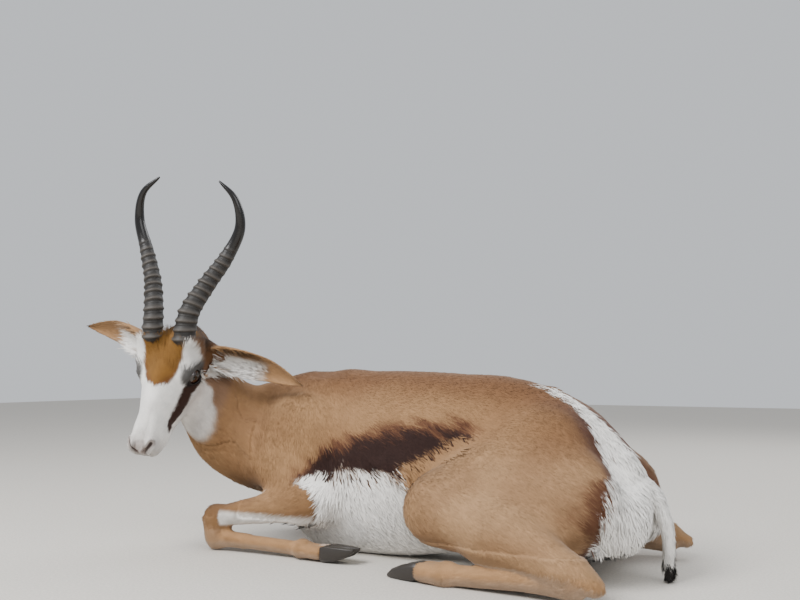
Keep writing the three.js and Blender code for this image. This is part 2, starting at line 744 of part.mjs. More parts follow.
// A flat tapered lock of hair: rooted below the skin, bending from its first direction to its last.
function lock(root, first, last, out, length, width, thickness) {
  const steps = 3;
  const rings = [];
  let centre = root.clone();
  for (let i = 0; i <= steps; i++) {
    const s = i / steps;
    const way = first.clone().lerp(last, s).normalize();
    const high = square(out, way);
    const flank = way.clone().cross(high);
    const taper = 1 - 0.8 * s * s;
    rings.push(ovalRing(centre, flank, (width / 2) * taper, high, (thickness / 2) * taper, 5));
    centre = centre.clone().addScaledVector(way, (length / (steps + 1)));
  }
  return loft(rings, root, centre);
}

// A repeatable stream of numbers from 0 to 1.
function dice(seed) {
  let state = seed;
  return () => {
    state = (state * 1664525 + 1013904223) % 4294967296;
    return state / 4294967296;
  };
}

// A bent round rod through points, to cut grooves with.
function rod(points, radius, sides = 6) {
  const rings = points.map((p, i) => {
    const way = points[Math.min(i + 1, points.length - 1)].clone().sub(points[Math.max(i - 1, 0)]).normalize();
    const first = square(Math.abs(way.z) < 0.8 ? UP : BACK, way);
    return ovalRing(p, first, radius, way.clone().cross(first), radius, sides);
  });
  const last = points.length - 1;
  const ahead = (i, j) => points[i].clone().addScaledVector(points[i].clone().sub(points[j]).normalize(), radius * 0.6);
  return loft(rings, ahead(0, 1), ahead(last, last - 1));
}

// A ball for an eye or its socket, and the almond opening between the lids.
const eyeBall = (s, radius) => {
  const { x, y, z } = eyeCentre(s);
  return solidOfGeometry(new THREE.SphereGeometry(radius, 12, 8).translate(x, y, z));
};
const eyeWay = (s) => headWay(s * 0.88, 0.3, 0.3);
function lidOpening(s) {
  const out = eyeWay(s);
  const along = square(headWay(s * 0.1, 1, 0.25), out);
  const across = out.clone().cross(along);
  const pose = new THREE.Matrix4().makeBasis(along, across, out).setPosition(eyeCentre(s).addScaledVector(out, 17));
  return solidOfGeometry(new THREE.SphereGeometry(1, 14, 8).scale(15, 9.5, 14).applyMatrix4(pose));
}

const nostril = (s) => rod([onHead(s * 7, 150, -9), onHead(s * 12, 149, -3), onHead(s * 19, 141, 3)], 2.8);
const mouth = () =>
  rod(
    [[-25, 94, -26], [-23, 116, -27], [-18, 137, -27], [-9, 147, -28], [9, 147, -28], [18, 137, -27], [23, 116, -27], [25, 94, -26]]
      .map((p) => onHead(...p)),
    2,
  );

// The tail hangs down the rump and ends in a tuft of locks. Grown, it cuts its own bed.
const TAIL_COURSE = [
  [at(560, 8, 146), 10],
  [at(590, 8, 134), 12],
  [at(610, 7, 104), 10],
  [at(617, 4, 72), 8],
  [at(618, 2, 46), 7],
  [at(614, 1, 28), 5],
];
function tail(grown) {
  const curve = new THREE.CatmullRomCurve3(TAIL_COURSE.map((s) => s[0]), false, 'centripetal');
  const rings = [];
  for (let i = 0; i <= 9; i++) {
    const t = i / 9;
    const at5 = t * (TAIL_COURSE.length - 1);
    const k = Math.min(TAIL_COURSE.length - 2, Math.floor(at5));
    const radius = THREE.MathUtils.lerp(TAIL_COURSE[k][1], TAIL_COURSE[k + 1][1], at5 - k) + grown;
    const way = curve.getTangent(t).normalize();
    const side = square(RIGHT, way);
    rings.push(ovalRing(curve.getPoint(t), side, radius * 1.25, way.clone().cross(side), radius * 0.8, 10));
  }
  let solid = loft(rings, curve.getPoint(0), curve.getPoint(1));
  const roll = dice(7);
  for (let i = 0; i < 9; i++) {
    const swing = (i / 8 - 0.5) * 0.9 + (roll() - 0.5) * 0.2;
    const root = curve.getPoint(0.72 + 0.2 * roll());
    const first = at(0.25 * roll(), swing, -1);
    const last = at(-0.25 + 0.35 * roll(), swing * 0.5, -1);
    solid = solid.add(lock(root, first, last, BACK, 34 + 16 * roll(), 9 + 2 * grown, 3.2 + 2 * grown));
  }
  return aboveFloor(solid);
}

// Long hair along the croup: locks that lie back one over the other.
const CREST_COURSE = new THREE.CatmullRomCurve3([
  at(392, 21, 299), at(430, 20, 287), at(470, 18, 265), at(508, 16, 234), at(540, 14, 200), at(566, 12, 168),
]);
function crestLocks() {
  const roll = dice(11);
  return Array.from({ length: 15 }, (_, i) => {
    const t = 0.03 + (0.9 * i) / 14;
    const along = CREST_COURSE.getTangent(t).normalize();
    const out = square(spineUp, along);
    const root = CREST_COURSE.getPoint(t).addScaledVector(out, -2).addScaledVector(RIGHT, (roll() - 0.5) * 7);
    const first = along.clone().addScaledVector(out, 0.5).addScaledVector(RIGHT, (roll() - 0.5) * 0.15);
    const last = along.clone().addScaledVector(out, -0.05).addScaledVector(RIGHT, (roll() - 0.5) * 0.16);
    return lock(root, first, last, out, 34 + 12 * roll(), 11, 3.4);
  });
}
const CREST_REGION = [
  [at(400, 0, 280), at(0, 1, 0)],
  [at(400, 34, 280), at(0, -1, 0)],
  [at(400, 0, 280), at(0.6, 0, 0.8)],
  [at(360, 0, 0), BACK],
];

const trunkAndNeck = melt(44, trunk, neck, shoulder(FORE_LEFT, LEFT), shoulder(FORE_RIGHT, RIGHT_SIDE));
const body = melt(34, trunkAndNeck, thigh(HIND_LEFT, LEFT), thigh(HIND_RIGHT, RIGHT_SIDE));
const flesh = melt(20, body, melt(10, forearm(FORE_LEFT), forearm(FORE_RIGHT)), skull());

const aboveFloor = (solid) => solid.intersect(beyond(at(0, 0, 0), UP));

// The skins: the body in wide triangles, the head and the lower legs in small ones.
function fleshSkin(low, high, step, triangles) {
  return solidOf(thin(skinOf(inside(flesh, low, high), low, high, step), triangles));
}

function lowerLeg({ fetlock, coronet }, top, topRadius) {
  const field = cannon(top, fetlock, coronet, topRadius);
  const box = new THREE.Box3().setFromPoints([top, fetlock, coronet]).expandByScalar(36);
  const whole = aboveFloor(solidOf(thin(skinOf(field, box.min, box.max, 5), 400)));
  const toe = coronet.clone().sub(fetlock).normalize();
  return whole.intersect(beyond(coronet.clone().addScaledVector(toe, -CLAW_LENGTH * 0.16 - GAP), toe.clone().negate()));
}

let torso = aboveFloor(fleshSkin(at(-304, -330, -14), at(700, 330, 390), 10.5, 5400));
const foreTops = [FORE_LEFT, FORE_RIGHT].map((j) => at(j.knee.x + 8, j.knee.y, 22));
const hindTops = [HIND_LEFT, HIND_RIGHT].map((j) => at(j.hock.x + 14, j.hock.y, 27));
const lower = [
  lowerLeg(FORE_LEFT, foreTops[0], 17),
  lowerLeg(FORE_RIGHT, foreTops[1], 17),
  lowerLeg(HIND_LEFT, hindTops[0], 20),
  lowerLeg(HIND_RIGHT, hindTops[1], 20),
];
for (const leg of lower) torso = torso.add(leg);

// Where the pieces part: each region is bounded by planes, each a point and a direction into the region.
const HEAD_REGION = [
  [onHead(0, -50, -34), headWay(0, 0.42, 0.9)],
  [at(-90, 0, 0), at(-1, 0, 0)],
  [at(0, 0, 130), UP],
];
const NECK_REGION = [
  [at(-96, -24, 200), at(-0.78, -0.56, 0.28)],
  [at(0, 0, 108), UP],
];
const forearmRegion = (side) => [
  [at(-14, side * 110, 86), at(-0.95, side * 0.1, -0.28)],
  [at(0, side * 92, 0), at(0, side, 0)],
  [at(0, 0, 116), at(0, 0, -1)],
];
const foreShinRegion = (side) => [
  [at(-140, side * 136, 38), at(0.03, 0, -1)],
  [at(0, side * 104, 0), at(0, side, 0)],
  [at(200, 0, 0), at(-1, 0, 0)],
];
const hindShinRegion = (side) => [
  [at(540, side * 204, 39), at(0.04, 0, -1)],
  [at(0, side * 152, 0), at(0, side, 0)],
  [at(250, 0, 0), BACK],
];
const thighRegion = (side) => [
  [at(420, side * 84, 150), at(0, side * 0.92, -0.38)],
  [at(250, 0, 0), BACK],
];
const hornRegion = (s) => [
  [hornSeat(s).addScaledVector(hornWay(s), 14), hornWay(s)],
  [hornSeat(s).add(at(0, 20, 0)), at(0, -1, 0.5)],
  [onHead(s * 3, 0, 0), headWay(s, 0, 0)],
];
const earRegion = ({ base, way, open }) => {
  const opening = square(open, way);
  const wide = way.clone().cross(opening);
  const wall = (to, reach) => [base.clone().addScaledVector(to, -reach), to];
  return [
    [base.clone().addScaledVector(way, 20), way],
    wall(wide, 38),
    wall(wide.clone().negate(), 38),
    wall(opening, 30),
    wall(opening.clone().negate(), 42),
  ];
};

// Colours of the animal.
const finish = (color, roughness) => new THREE.MeshStandardMaterial({ color, roughness, metalness: 0 });
const COAT = finish(0xb27d4f, 0.85);
const PALE_COAT = finish(0xe6e2da, 0.85);
const HORN = finish(0x2f2a27, 0.45);
const HOOF = finish(0x24211f, 0.5);
const EYE = finish(0x120c09, 0.08);

const ram = new THREE.Group();

const FINEST = 0.004; // collapses that cost less than this tidy the edges that cuts leave

function show(name, solid, material) {
  const { vertProperties, triVerts, numProp } = largest(solid).getMesh();
  const points = [];
  const faces = [];
  for (let i = 0; i < vertProperties.length; i += numProp) points.push([...vertProperties.slice(i, i + 3)]);
  for (let i = 0; i < triVerts.length; i += 3) faces.push([...triVerts.slice(i, i + 3)]);
  const tidied = thin({ points, faces }, 0, FINEST);
  const geometry = new THREE.BufferGeometry();
  geometry.setAttribute('position', new THREE.BufferAttribute(new Float32Array(tidied.points.flat()), 3));
  geometry.setIndex(new THREE.BufferAttribute(new Uint32Array(tidied.faces.flat()), 1));
  geometry.computeVertexNormals();
  const mesh = new THREE.Mesh(geometry, material);
  mesh.name = name;
  ram.add(mesh);
}

// The lower legs and their claws.
const sides = [['left', LEFT], ['right', RIGHT_SIDE]];
for (const [word, side] of sides) {
  const fore = side === LEFT ? FORE_LEFT : FORE_RIGHT;
  const hind = side === LEFT ? HIND_LEFT : HIND_RIGHT;
  for (const [kind, joints, area, sole] of [
    ['fore', fore, foreShinRegion(side), UP],
    ['hind', hind, hindShinRegion(side), at(0, 0, -1)],
  ]) {
    const [shin, rest] = lift(torso, area);
    torso = rest;
    show(`${kind}_shin_${word}`, shin, COAT);
    const toe = joints.coronet.clone().sub(joints.fetlock).normalize();
    const outward = square(RIGHT, toe).multiplyScalar(9.4 * side);
    show(`${kind}_claw_outer_${word}`, aboveFloor(claw(joints.coronet.clone().add(outward), toe, sole)), HOOF);
    show(`${kind}_claw_inner_${word}`, aboveFloor(claw(joints.coronet.clone().sub(outward), toe, sole)), HOOF);
  }
  const [arm, armless] = lift(torso, forearmRegion(side));
  show(`forearm_${word}`, arm, COAT);
  const [haunch, rest] = lift(armless, thighRegion(side));
  show(`thigh_${word}`, haunch, COAT);
  torso = rest;
}
torso = torso.subtract(region(HEAD_REGION, GAP));
const [neckPiece, trunkPiece] = lift(torso, NECK_REGION);
show('neck', neckPiece, COAT);
const [crest, bareTrunk] = lift(trunkPiece.subtract(tail(GAP)), CREST_REGION);
show('torso', bareTrunk, COAT);
show('crest', crestLocks().reduce((a, b) => a.add(b), crest).subtract(tail(GAP)), PALE_COAT);
show('tail', tail(0), PALE_COAT);

// The head with its ears, horns and eyes.
let head = fleshSkin(at(-350, -420, 110), at(-50, -60, 450), 5, 3000).intersect(region(HEAD_REGION));
for (const [word, ear] of [['left', LEFT_EAR], ['right', RIGHT_EAR]]) {
  show(`ear_${word}`, earShell(ear).add(head).intersect(region(earRegion(ear))), COAT);
  head = head.subtract(region(earRegion(ear), GAP));
}
for (const [word, side] of sides) {
  head = head.subtract(region(hornRegion(side), GAP));
  show(`horn_${word}`, horn(side).intersect(region(hornRegion(side))), HORN);
}
for (const [word, side] of sides) {
  head = head.subtract(eyeBall(side, EYE_RADIUS + GAP)).subtract(lidOpening(side)).subtract(nostril(side));
  show(`eye_${word}`, eyeBall(side, EYE_RADIUS), EYE);
}
show('head', head.subtract(mouth()), PALE_COAT);

export default ram;
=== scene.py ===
"""Dresses the springbok ram: one skin with its coat, horns, ears, eyes, claws and tail, on a pale floor."""

import math

import bpy
import numpy as np
from bpy.props import FloatProperty, IntProperty, StringProperty
from mathutils import Matrix, Vector


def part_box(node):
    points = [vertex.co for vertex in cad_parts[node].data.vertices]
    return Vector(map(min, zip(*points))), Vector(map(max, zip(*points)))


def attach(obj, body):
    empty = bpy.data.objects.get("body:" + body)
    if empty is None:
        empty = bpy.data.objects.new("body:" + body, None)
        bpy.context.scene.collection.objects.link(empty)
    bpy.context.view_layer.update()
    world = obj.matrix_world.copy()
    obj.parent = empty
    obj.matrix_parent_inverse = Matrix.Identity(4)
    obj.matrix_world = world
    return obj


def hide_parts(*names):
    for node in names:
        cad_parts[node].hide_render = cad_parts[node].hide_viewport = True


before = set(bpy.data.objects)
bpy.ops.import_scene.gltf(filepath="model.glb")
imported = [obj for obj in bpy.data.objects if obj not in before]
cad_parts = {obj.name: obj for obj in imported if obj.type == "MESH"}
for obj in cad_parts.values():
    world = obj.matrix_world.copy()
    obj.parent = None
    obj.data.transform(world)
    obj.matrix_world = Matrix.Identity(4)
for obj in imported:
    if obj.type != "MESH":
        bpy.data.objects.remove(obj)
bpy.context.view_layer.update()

bl_info = {
    "name": "Springbok ram",
    "version": (1, 0, 0),
    "blender": (4, 5, 0),
    "location": "View3D > Sidebar > Springbok",
    "description": "Builds the skin, coat, horns, ears, eyes, claws and tail of a lying springbok ram",
    "category": "Object",
}

MM = 0.001
SIDES = (("left", -1), ("right", 1))

# The plane between the animal's sides, and the least height of hair over the floor, in mm.
MIDLINE = 8
HAIR_FLOOR = 0.3
# Half the width of the patch that a tuft has in OFBake.
HALF_PATCH = 0.0014

# The head's own frame, as in the part: x to the animal's right, y towards the nose, z out of the forehead.
BROW = np.array([-208.0, -199.0, 309.0])
HEAD_YAW, FACE_TILT, HEAD_ROLL = -18.0, 36.0, 6.0


def head_axes(tilt):
    """Columns are the directions of the head's x, y and z. The tilt is from upright, in degrees."""
    turn = Matrix.Rotation(math.radians(180 - HEAD_YAW), 3, "Z")
    roll = Matrix.Rotation(math.radians(-HEAD_ROLL), 3, "Y")
    nod = Matrix.Rotation(math.radians(tilt), 3, "X")
    return np.array(turn @ roll @ nod)


HEAD = head_axes(FACE_TILT - 90)
CROWN_AXES = head_axes(0)
HORN_SEAT = np.array([32.0, -34.0, 48.0])
CROWN = BROW + HEAD @ np.array([0, HORN_SEAT[1], HORN_SEAT[2]])


def to_head(points):
    """Points of the shared frame, in mm, in the head's own frame."""
    return (points - BROW) @ HEAD


def on_head(x, y, z):
    return BROW + HEAD @ np.array([x, y, z], float)


def unit(v):
    v = np.asarray(v, float)
    return v / np.maximum(np.linalg.norm(v, axis=-1, keepdims=True), 1e-9)


def smooth_step(low, high, x):
    t = np.clip((x - low) / (high - low), 0, 1)
    return t * t * (3 - 2 * t)


def linear(hex_colour):
    """An sRGB colour such as "B98C5E" as linear red, green and blue."""
    parts = np.array([int(hex_colour[i : i + 2], 16) / 255 for i in (0, 2, 4)])
    return np.where(parts <= 0.04045, parts / 12.92, ((parts + 0.055) / 1.055) ** 2.4)


def blend(under, over, share):
    """Lays one colour over another by a share for each point."""
    share = np.clip(share, 0, 1)[:, None]
    return under * (1 - share) + over * share


def ahead_of_neck(points):
    """Distance in mm ahead of the plane where the head meets the neck; negative on the neck."""
    ahead = (points - on_head(0, -50, -34)) @ unit(HEAD @ np.array([0, 0.42, 0.9]))
    return ahead - 400 * (points[:, 0] > -90)


def wobble(points, size, seed=0):
    """Soft noise of about -1 to 1 whose lumps are size mm apart."""
    rng = np.random.default_rng(100 + seed)
    total = np.zeros(len(points))
    for _ in range(7):
        way = unit(rng.normal(size=3)) * (2 * math.pi / size) * rng.uniform(0.6, 1.5)
        total += np.sin(points @ way + rng.uniform(0, 2 * math.pi))
    return total / 3.2


def segment_distance(points, a, b):
    a, b = np.asarray(a, float), np.asarray(b, float)
    run = b - a
    t = np.clip(((points - a) @ run) / (run @ run), 0, 1)
    return np.linalg.norm(points - (a + t[:, None] * run), axis=1), t


def path_distance(points, path):
    best = np.full(len(points), 1e9)
    for a, b in zip(path, path[1:]):
        best = np.minimum(best, segment_distance(points, a, b)[0])
    return best


# The way the hair lies: straight runs through the body, each pointing from root to tip of the hair.
def hair_runs():
    runs = [
        (on_head(0, 150, -10), on_head(0, 60, 0)),
        (on_head(0, 60, 0), on_head(0, -60, 20)),
        (on_head(0, -60, 0), (-206, -138, 316)),
        ((-206, -138, 316), (-186, -104, 262)),
        ((-186, -104, 262), (-140, -60, 210)),
        ((-140, -60, 210), (-60, 0, 195)),
        ((-60, 0, 190), (100, 8, 165)),
        ((100, 8, 170), (330, 8, 165)),
        ((330, 8, 190), (500, 8, 160)),
        ((520, 8, 190), (585, 8, 60)),
    ]
    for s in (-1, 1):
        shift = 0 if s < 0 else 26
        runs += [
            ((-40, s * 70, 250), (-10, s * 95, 120)),
            ((22, s * 108, 92), (-140, s * 136, 52)),
            ((-140, s * 136, 24), (32, s * 128, 16)),
            ((32, s * 128, 16), (88, s * 128, 14)),
            ((320, s * 120, 190), (500, s * 130, 110)),
            ((306 + shift, s * 150, 110), (528 + shift, s * 200, 40)),
            ((528 + shift, s * 204, 26), (338 + shift, s * 186, 16)),
            ((338 + shift, s * 186, 16), (284 + shift, s * 176, 15)),
        ]
    return [(np.array(a, float), np.array(b, float)) for a, b in runs]


def hair_lay(points, normals):
    """The hair's direction at points on the skin, along the surface."""
    total = np.zeros_like(points)
    for a, b in hair_runs():
        distance, _ = segment_distance(points, a, b)
        total += unit(b - a) / (distance[:, None] ** 4 + 100)
    total = unit(total)
    total += np.array([0, 0, -0.22])
    total -= (total * normals).sum(1, keepdims=True) * normals
    return unit(total)


# Where the markings lie. Each edge returns a distance in mm, positive inside the marking.
def rump_edge(points):
    """White patch of the rump, and its line along the croup."""
    x, y, z = points.T
    heights = [0, 40, 75, 106, 133, 160, 172, 190, 212, 230, 252, 276, 300]
    left = np.interp(z, heights, [-95, -105, -122, -134, -128, -105, -72, -46, -40, -33, -22, -8, 4])
    right = np.interp(z, heights, [90, 98, 106, 106, 84, 42, 22, 10, 7, 7, 8, 10, 14])
    start = np.interp(z, [0, 150, 230, 290, 305], [470, 500, 460, 405, 388])
    return np.minimum(np.minimum(y - left, right - y), x - start)


def belly_edge(points):
    """Height above the line where the white of the belly meets the band of the flank."""
    x, _, z = points.T
    heights = [96, 124, 140, 149, 149, 160, 178, 205, 214]
    return z - np.interp(x, [-60, 0, 45, 93, 187, 215, 250, 290, 320], heights)


def band_top(points):
    """Depth below the upper edge of the band of the flank."""
    x, _, z = points.T
    high = [100, 135, 160, 182, 204, 216, 224, 229, 231, 224, 205]
    return np.interp(x, [-40, 0, 35, 53, 109, 160, 208, 261, 294, 325, 345], high) - z


class Paint(bpy.types.PropertyGroup):
    """Colours of the coat, as sRGB values."""

    back: StringProperty(name="Back", description="Hair along the back", default="664227")
    flank: StringProperty(name="Flank", description="Hair of the sides and neck", default="98744F")
    haunch: StringProperty(name="Haunch", description="Hair of the thighs", default="A2805D")
    band: StringProperty(name="Band", description="Dark band of the flank", default="27110B")
    rust: StringProperty(name="Rust", description="Edges of the band and the rump", default="4F2917")
    white: StringProperty(name="White", description="White hair", default="F1EEE9")
    brow: StringProperty(name="Brow", description="Patch on the forehead", default="7B5521")
    stripe: StringProperty(name="Stripe", description="Stripe from the eye to the mouth", default="341D13")
    # Snout is also laid on the cheeks as painted shade.
    snout: StringProperty(name="Snout", description="Bare skin at the nose", default="6E5C55")
    # Dark is also laid as painted shade round the eyes, in the nostrils and along the mouth.
    dark: StringProperty(name="Dark", description="Tuft of the tail and rims of the lids", default="17110E")


def coat_colour(points, normals, paint, jitter=0.0):
    """Linear colours of hair that is rooted at points, in mm."""
    x, y, z = points.T
    h = to_head(points)
    hx, hy, hz = np.abs(h[:, 0]), h[:, 1], h[:, 2]
    c = {key: linear(getattr(paint, key)) for key in Paint.__annotations__}
    ragged = 5 * wobble(points, 34, 1) + 2.5 * wobble(points, 12, 2) + jitter

    def lay_over(colour, share):
        nonlocal out
        out = blend(out, colour, share)

    side = np.abs(y - MIDLINE)
    out = np.tile(c["flank"], (len(points), 1))
    lay_over(c["back"], 0.75 * smooth_step(180, 300, z) * smooth_step(110, 30, side) * (x > -60))
    lay_over(c["back"], 0.55 * smooth_step(330, 250, z) * smooth_step(330, 480, x) * smooth_step(40, 160, z))
    lay_over(
        c["haunch"],
        0.9 * smooth_step(225, 330, x) * smooth_step(70, 120, side) * smooth_step(235, 150, z),
    )
    lay_over(c["back"], 0.35 * (x < -60) * smooth_step(-0.1, 0.9, normals[:, 2]))
    lay_over(c["back"], 0.25 * smooth_step(0.2, 0.8, 0.5 + 0.5 * wobble(points, 120, 4)) * (z > 60))

    trunk = (side < 132) & (x > -70) & (z > 0)
    leg = ((side > 100) & (z < 100) & (x < 60)) | ((side > 118) & (x > 235))
    low = belly_edge(points) + ragged
    high = band_top(points) + 1.6 * ragged
    on_trunk = trunk & ~leg & (x < 350)
    lay_over(c["rust"], 0.9 * on_trunk * smooth_step(-22, 4, high) * smooth_step(-2, 6, low) * (x > -30))
    lay_over(
        c["band"],
        on_trunk * smooth_step(0, 14, high) * smooth_step(-2, 6, low) * smooth_step(-30, 20, x),
    )
    under = on_trunk * smooth_step(262, 246, x + 0.9 * (z - 100) + 2 * ragged)
    lay_over(c["white"], under * smooth_step(3, -3, low) * smooth_step(-70, -40, x))
    lay_over(c["white"], 0.9 * leg * (x < 60) * smooth_step(76, 66, z) * smooth_step(44, 50, z) * (x > -130))
    lay_over(c["white"], 0.55 * ((z < 40) & (side > 100)) * smooth_step(0.2, -0.6, normals[:, 2]))
    lay_over(c["flank"] * 1.25, 0.7 * ((z < 40) & (side > 100)))

    patch = rump_edge(points) + 0.8 * ragged
    rear = smooth_step(385, 420, x)
    border = smooth_step(np.where(z > 170, -46, -34), -8, patch)
    lay_over(c["rust"], 0.9 * rear * border * smooth_step(285, 240, z))
    far_haunch = smooth_step(-90, -40, patch) * (y > MIDLINE) * smooth_step(270, 220, z)
    lay_over(c["rust"] * 1.15, 0.6 * rear * far_haunch)
    lay_over(c["white"], rear * smooth_step(-3, 2, patch))

    reach, _ = segment_distance(h, (0, -50, 0), (0, 150, -10))
    near_head = smooth_step(-12, -2, ahead_of_neck(points)) * smooth_step(115, 95, reach) * (z > 150)
    rear_edge = np.interp(hz, [-75, -59, -42, -33, 0, 26, 55], [46, 28, 8, -4, -13, -21, -29])
    behind_eye = hy + 0.3 * ragged - rear_edge
    lay_over(c["white"], near_head * smooth_step(-5, 3, behind_eye) * (hy < 175))
    throat = near_head * smooth_step(-44, -62, hz) * smooth_step(34, 20, hx) * smooth_step(-10, 30, hy)
    lay_over(c["white"], 0.8 * throat)
    lay_over(c["back"] * 0.8, 0.8 * near_head * smooth_step(2, -8, behind_eye) * smooth_step(-70, 0, hz))
    poll = smooth_step(-34, -50, hy) * smooth_step(10, 26, hz) * smooth_step(66, 50, hx)
    lay_over(c["dark"] * 1.6, 0.85 * near_head * poll)
    half = np.interp(hy, [-60, -30, -5, 12, 27, 40, 50, 58], [36, 36, 35, 32, 26, 17, 2, -9])
    brow = near_head * smooth_step(-2.5, 2.5, half - hx + 0.3 * ragged) * (hz > 5) * (hy > -75)
    lay_over(c["brow"], brow)
    lay_over(c["rust"] * 1.6, 0.6 * brow * smooth_step(12, 0, half - hx) * smooth_step(-10, 40, hy))
    lay_over(c["snout"], 0.16 * near_head * smooth_step(20, 4, hx) * smooth_step(50, 90, hy) * (hz > 0))
    # Painted shade: the cheeks are toned grey with the snout's colour.
    cheek_shade = near_head * smooth_step(6, -16, hz) * smooth_step(20, 40, hx) * smooth_step(90, 40, hy)
    lay_over(c["snout"] * 1.5, 0.3 * cheek_shade)
    for s in (-1, 1):
        # Stripe from the eye to the mouth: a real marking, drawn wider and darker so that it also carries
        # painted shade along its sides.
        gap, along = segment_distance(h, (s * 44, 6, 6), (s * 27, 98, -20))
        wide = np.interp(along, [0, 0.25, 0.6, 1], [17, 13, 12, 8])
        lay_over(c["stripe"], near_head * smooth_step(2.5, -2.5, gap - wide + 0.3 * ragged) * (hz > -36))
        # Dark rims of the lids, widened into a dark patch round each eye that is painted shade.
        eye, _ = segment_distance(h, (s * 43, 12, 19), (s * 54, -2, 12))
        lay_over(c["dark"], 0.9 * near_head * smooth_step(20, 15, eye))
        pit = path_distance(h, [(s * 7, 150, -9), (s * 12, 149, -3), (s * 19, 141, 3)])
        lay_over(c["snout"], 0.6 * near_head * smooth_step(9, 5, pit))
        # Painted shade: the nostril openings are laid dark.
        lay_over(c["dark"], near_head * smooth_step(4, 2.4, pit))
    lay_over(c["snout"], 0.3 * near_head * smooth_step(112, 140, hy))
    lay_over(c["snout"], 0.5 * near_head * smooth_step(138, 146, hy) * smooth_step(14, 7, hx) * (hz > -24))
    lips = path_distance(np.c_[hx, hy, hz], MOUTH)
    # Painted shade along the line of the mouth, where the lips meet.
    lay_over(c["dark"], 0.8 * near_head * smooth_step(2.6, 1.2, lips))
    return out


# The line of the mouth in the head's frame, from its corner to the middle of the lips.
MOUTH = [(25, 94, -26), (23, 116, -27), (18, 137, -27), (9, 147, -28), (0, 149, -28)]


# Mesh helpers.
def deselect():
    bpy.ops.object.select_all(action="DESELECT")


def make_active(obj):
    deselect()
    obj.select_set(True)
    bpy.context.view_layer.objects.active = obj


def edit_all(obj, operator, **values):
    """Runs a mesh operator on the whole of an object."""
    make_active(obj)
    bpy.ops.object.mode_set(mode="EDIT")
    bpy.ops.mesh.select_all(action="SELECT")
    operator(**values)
    bpy.ops.object.mode_set(mode="OBJECT")


def unwrap(obj):
    edit_all(obj, bpy.ops.uv.smart_project, angle_limit=math.radians(75), island_margin=0.002)
    obj.data.uv_layers[0].name = "OFBake"


def apply_modifier(obj, kind, **settings):
    make_active(obj)
    modifier = obj.modifiers.new(kind.title(), kind)
    for key, value in settings.items():
        setattr(modifier, key, value)
    bpy.ops.object.modifier_apply(modifier=modifier.name)


def coordinates(mesh):
    co = np.empty(len(mesh.vertices) * 3)
    mesh.vertices.foreach_get("co", co)
    return co.reshape(-1, 3)


def vertex_normals(mesh):
    n = np.empty(len(mesh.vertices) * 3)
    mesh.vertices.foreach_get("normal", n)
    return n.reshape(-1, 3)


def put_coordinates(mesh, co):
    mesh.vertices.foreach_set("co", np.ascontiguousarray(co, dtype=float).ravel())
    mesh.update()


def triangles(mesh):
    mesh.calc_loop_triangles()
    out = np.empty(len(mesh.loop_triangles) * 3, dtype=np.int32)
    mesh.loop_triangles.foreach_get("vertices", out)
    return out.reshape(-1, 3)


def copy_of(node, name):
    """A copy of a CAD node whose loose triangles are joined."""
    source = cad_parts[node]
    obj = bpy.data.objects.new(name, source.data.copy())
    bpy.context.scene.collection.objects.link(obj)
    obj.data.materials.clear()
    edit_all(obj, bpy.ops.mesh.remove_doubles, threshold=0.00002)
    return obj


def mesh_object(name, verts, faces):
    mesh = bpy.data.meshes.new(name)
    mesh.from_pydata([tuple(v) for v in verts], [], [tuple(int(i) for i in f) for f in faces])
    mesh.update()
    obj = bpy.data.objects.new(name, mesh)
    bpy.context.scene.collection.objects.link(obj)
    return obj


def tube(name, rings, start, end):
    """A closed tube through rings of points in mm, with a point that closes each end."""
    sides = len(rings[0])
    faces = []
    for i in range(len(rings) - 1):
        for j in range(sides):
            k = (j + 1) % sides
            faces.append((i * sides + j, i * sides + k, (i + 1) * sides + k, (i + 1) * sides + j))
    first, top = sides * len(rings), sides * (len(rings) - 1)
    faces += [(first, (j + 1) % sides, j) for j in range(sides)]
    faces += [(first + 1, top + j, top + (j + 1) % sides) for j in range(sides)]
    obj = mesh_object(name, np.vstack([*rings, start, end]) * MM, faces)
    edit_all(obj, bpy.ops.mesh.normals_make_consistent, inside=False)
    return obj


def shade_smooth(obj):
    make_active(obj)
    bpy.ops.object.shade_smooth()


def colour_vertices(mesh, colours, name="Coat"):
    layer = mesh.color_attributes.new(name, "FLOAT_COLOR", "POINT")
    rgba = np.ones((len(colours), 4), dtype=np.float32)
    rgba[:, :3] = colours
    layer.data.foreach_set("color", rgba.ravel())


def finish_piece(obj, material, slot, *nodes):
    """Gives a piece its material and body, and hides the CAD nodes it replaces. The slot is not used."""
    obj.data.materials.clear()
    obj.data.materials.append(material)
    shade_smooth(obj)
    if nodes:
        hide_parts(*nodes)
    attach(obj, "root")


# Materials.
def add_node(tree, kind, **values):
    """A shader node whose inputs and settings are given by name; a socket as value is linked."""
    node = tree.nodes.new(kind)
    for key, value in values.items():
        name = key.replace("_", " ")
        socket = node.inputs.get(name) or node.inputs.get(name.title())
        if socket is None:
            setattr(node, key, value)
        elif isinstance(value, bpy.types.NodeSocket):
            tree.links.new(value, socket)
        else:
            socket.default_value = value
    return node


def new_material(name):
    material = bpy.data.materials.new(name)
    material.use_nodes = True
    tree = material.node_tree
    return material, tree, tree.nodes["Principled BSDF"]


def mixed(tree, factor, a, b):
    mix = tree.nodes.new("ShaderNodeMix")
    mix.data_type = "RGBA"
    for socket, value in ((mix.inputs[0], factor), (mix.inputs[6], a), (mix.inputs[7], b)):
        if isinstance(value, bpy.types.NodeSocket):
            tree.links.new(value, socket)
        else:
            socket.default_value = value if isinstance(value, float) else (*value, 1.0)
    return mix.outputs[2]


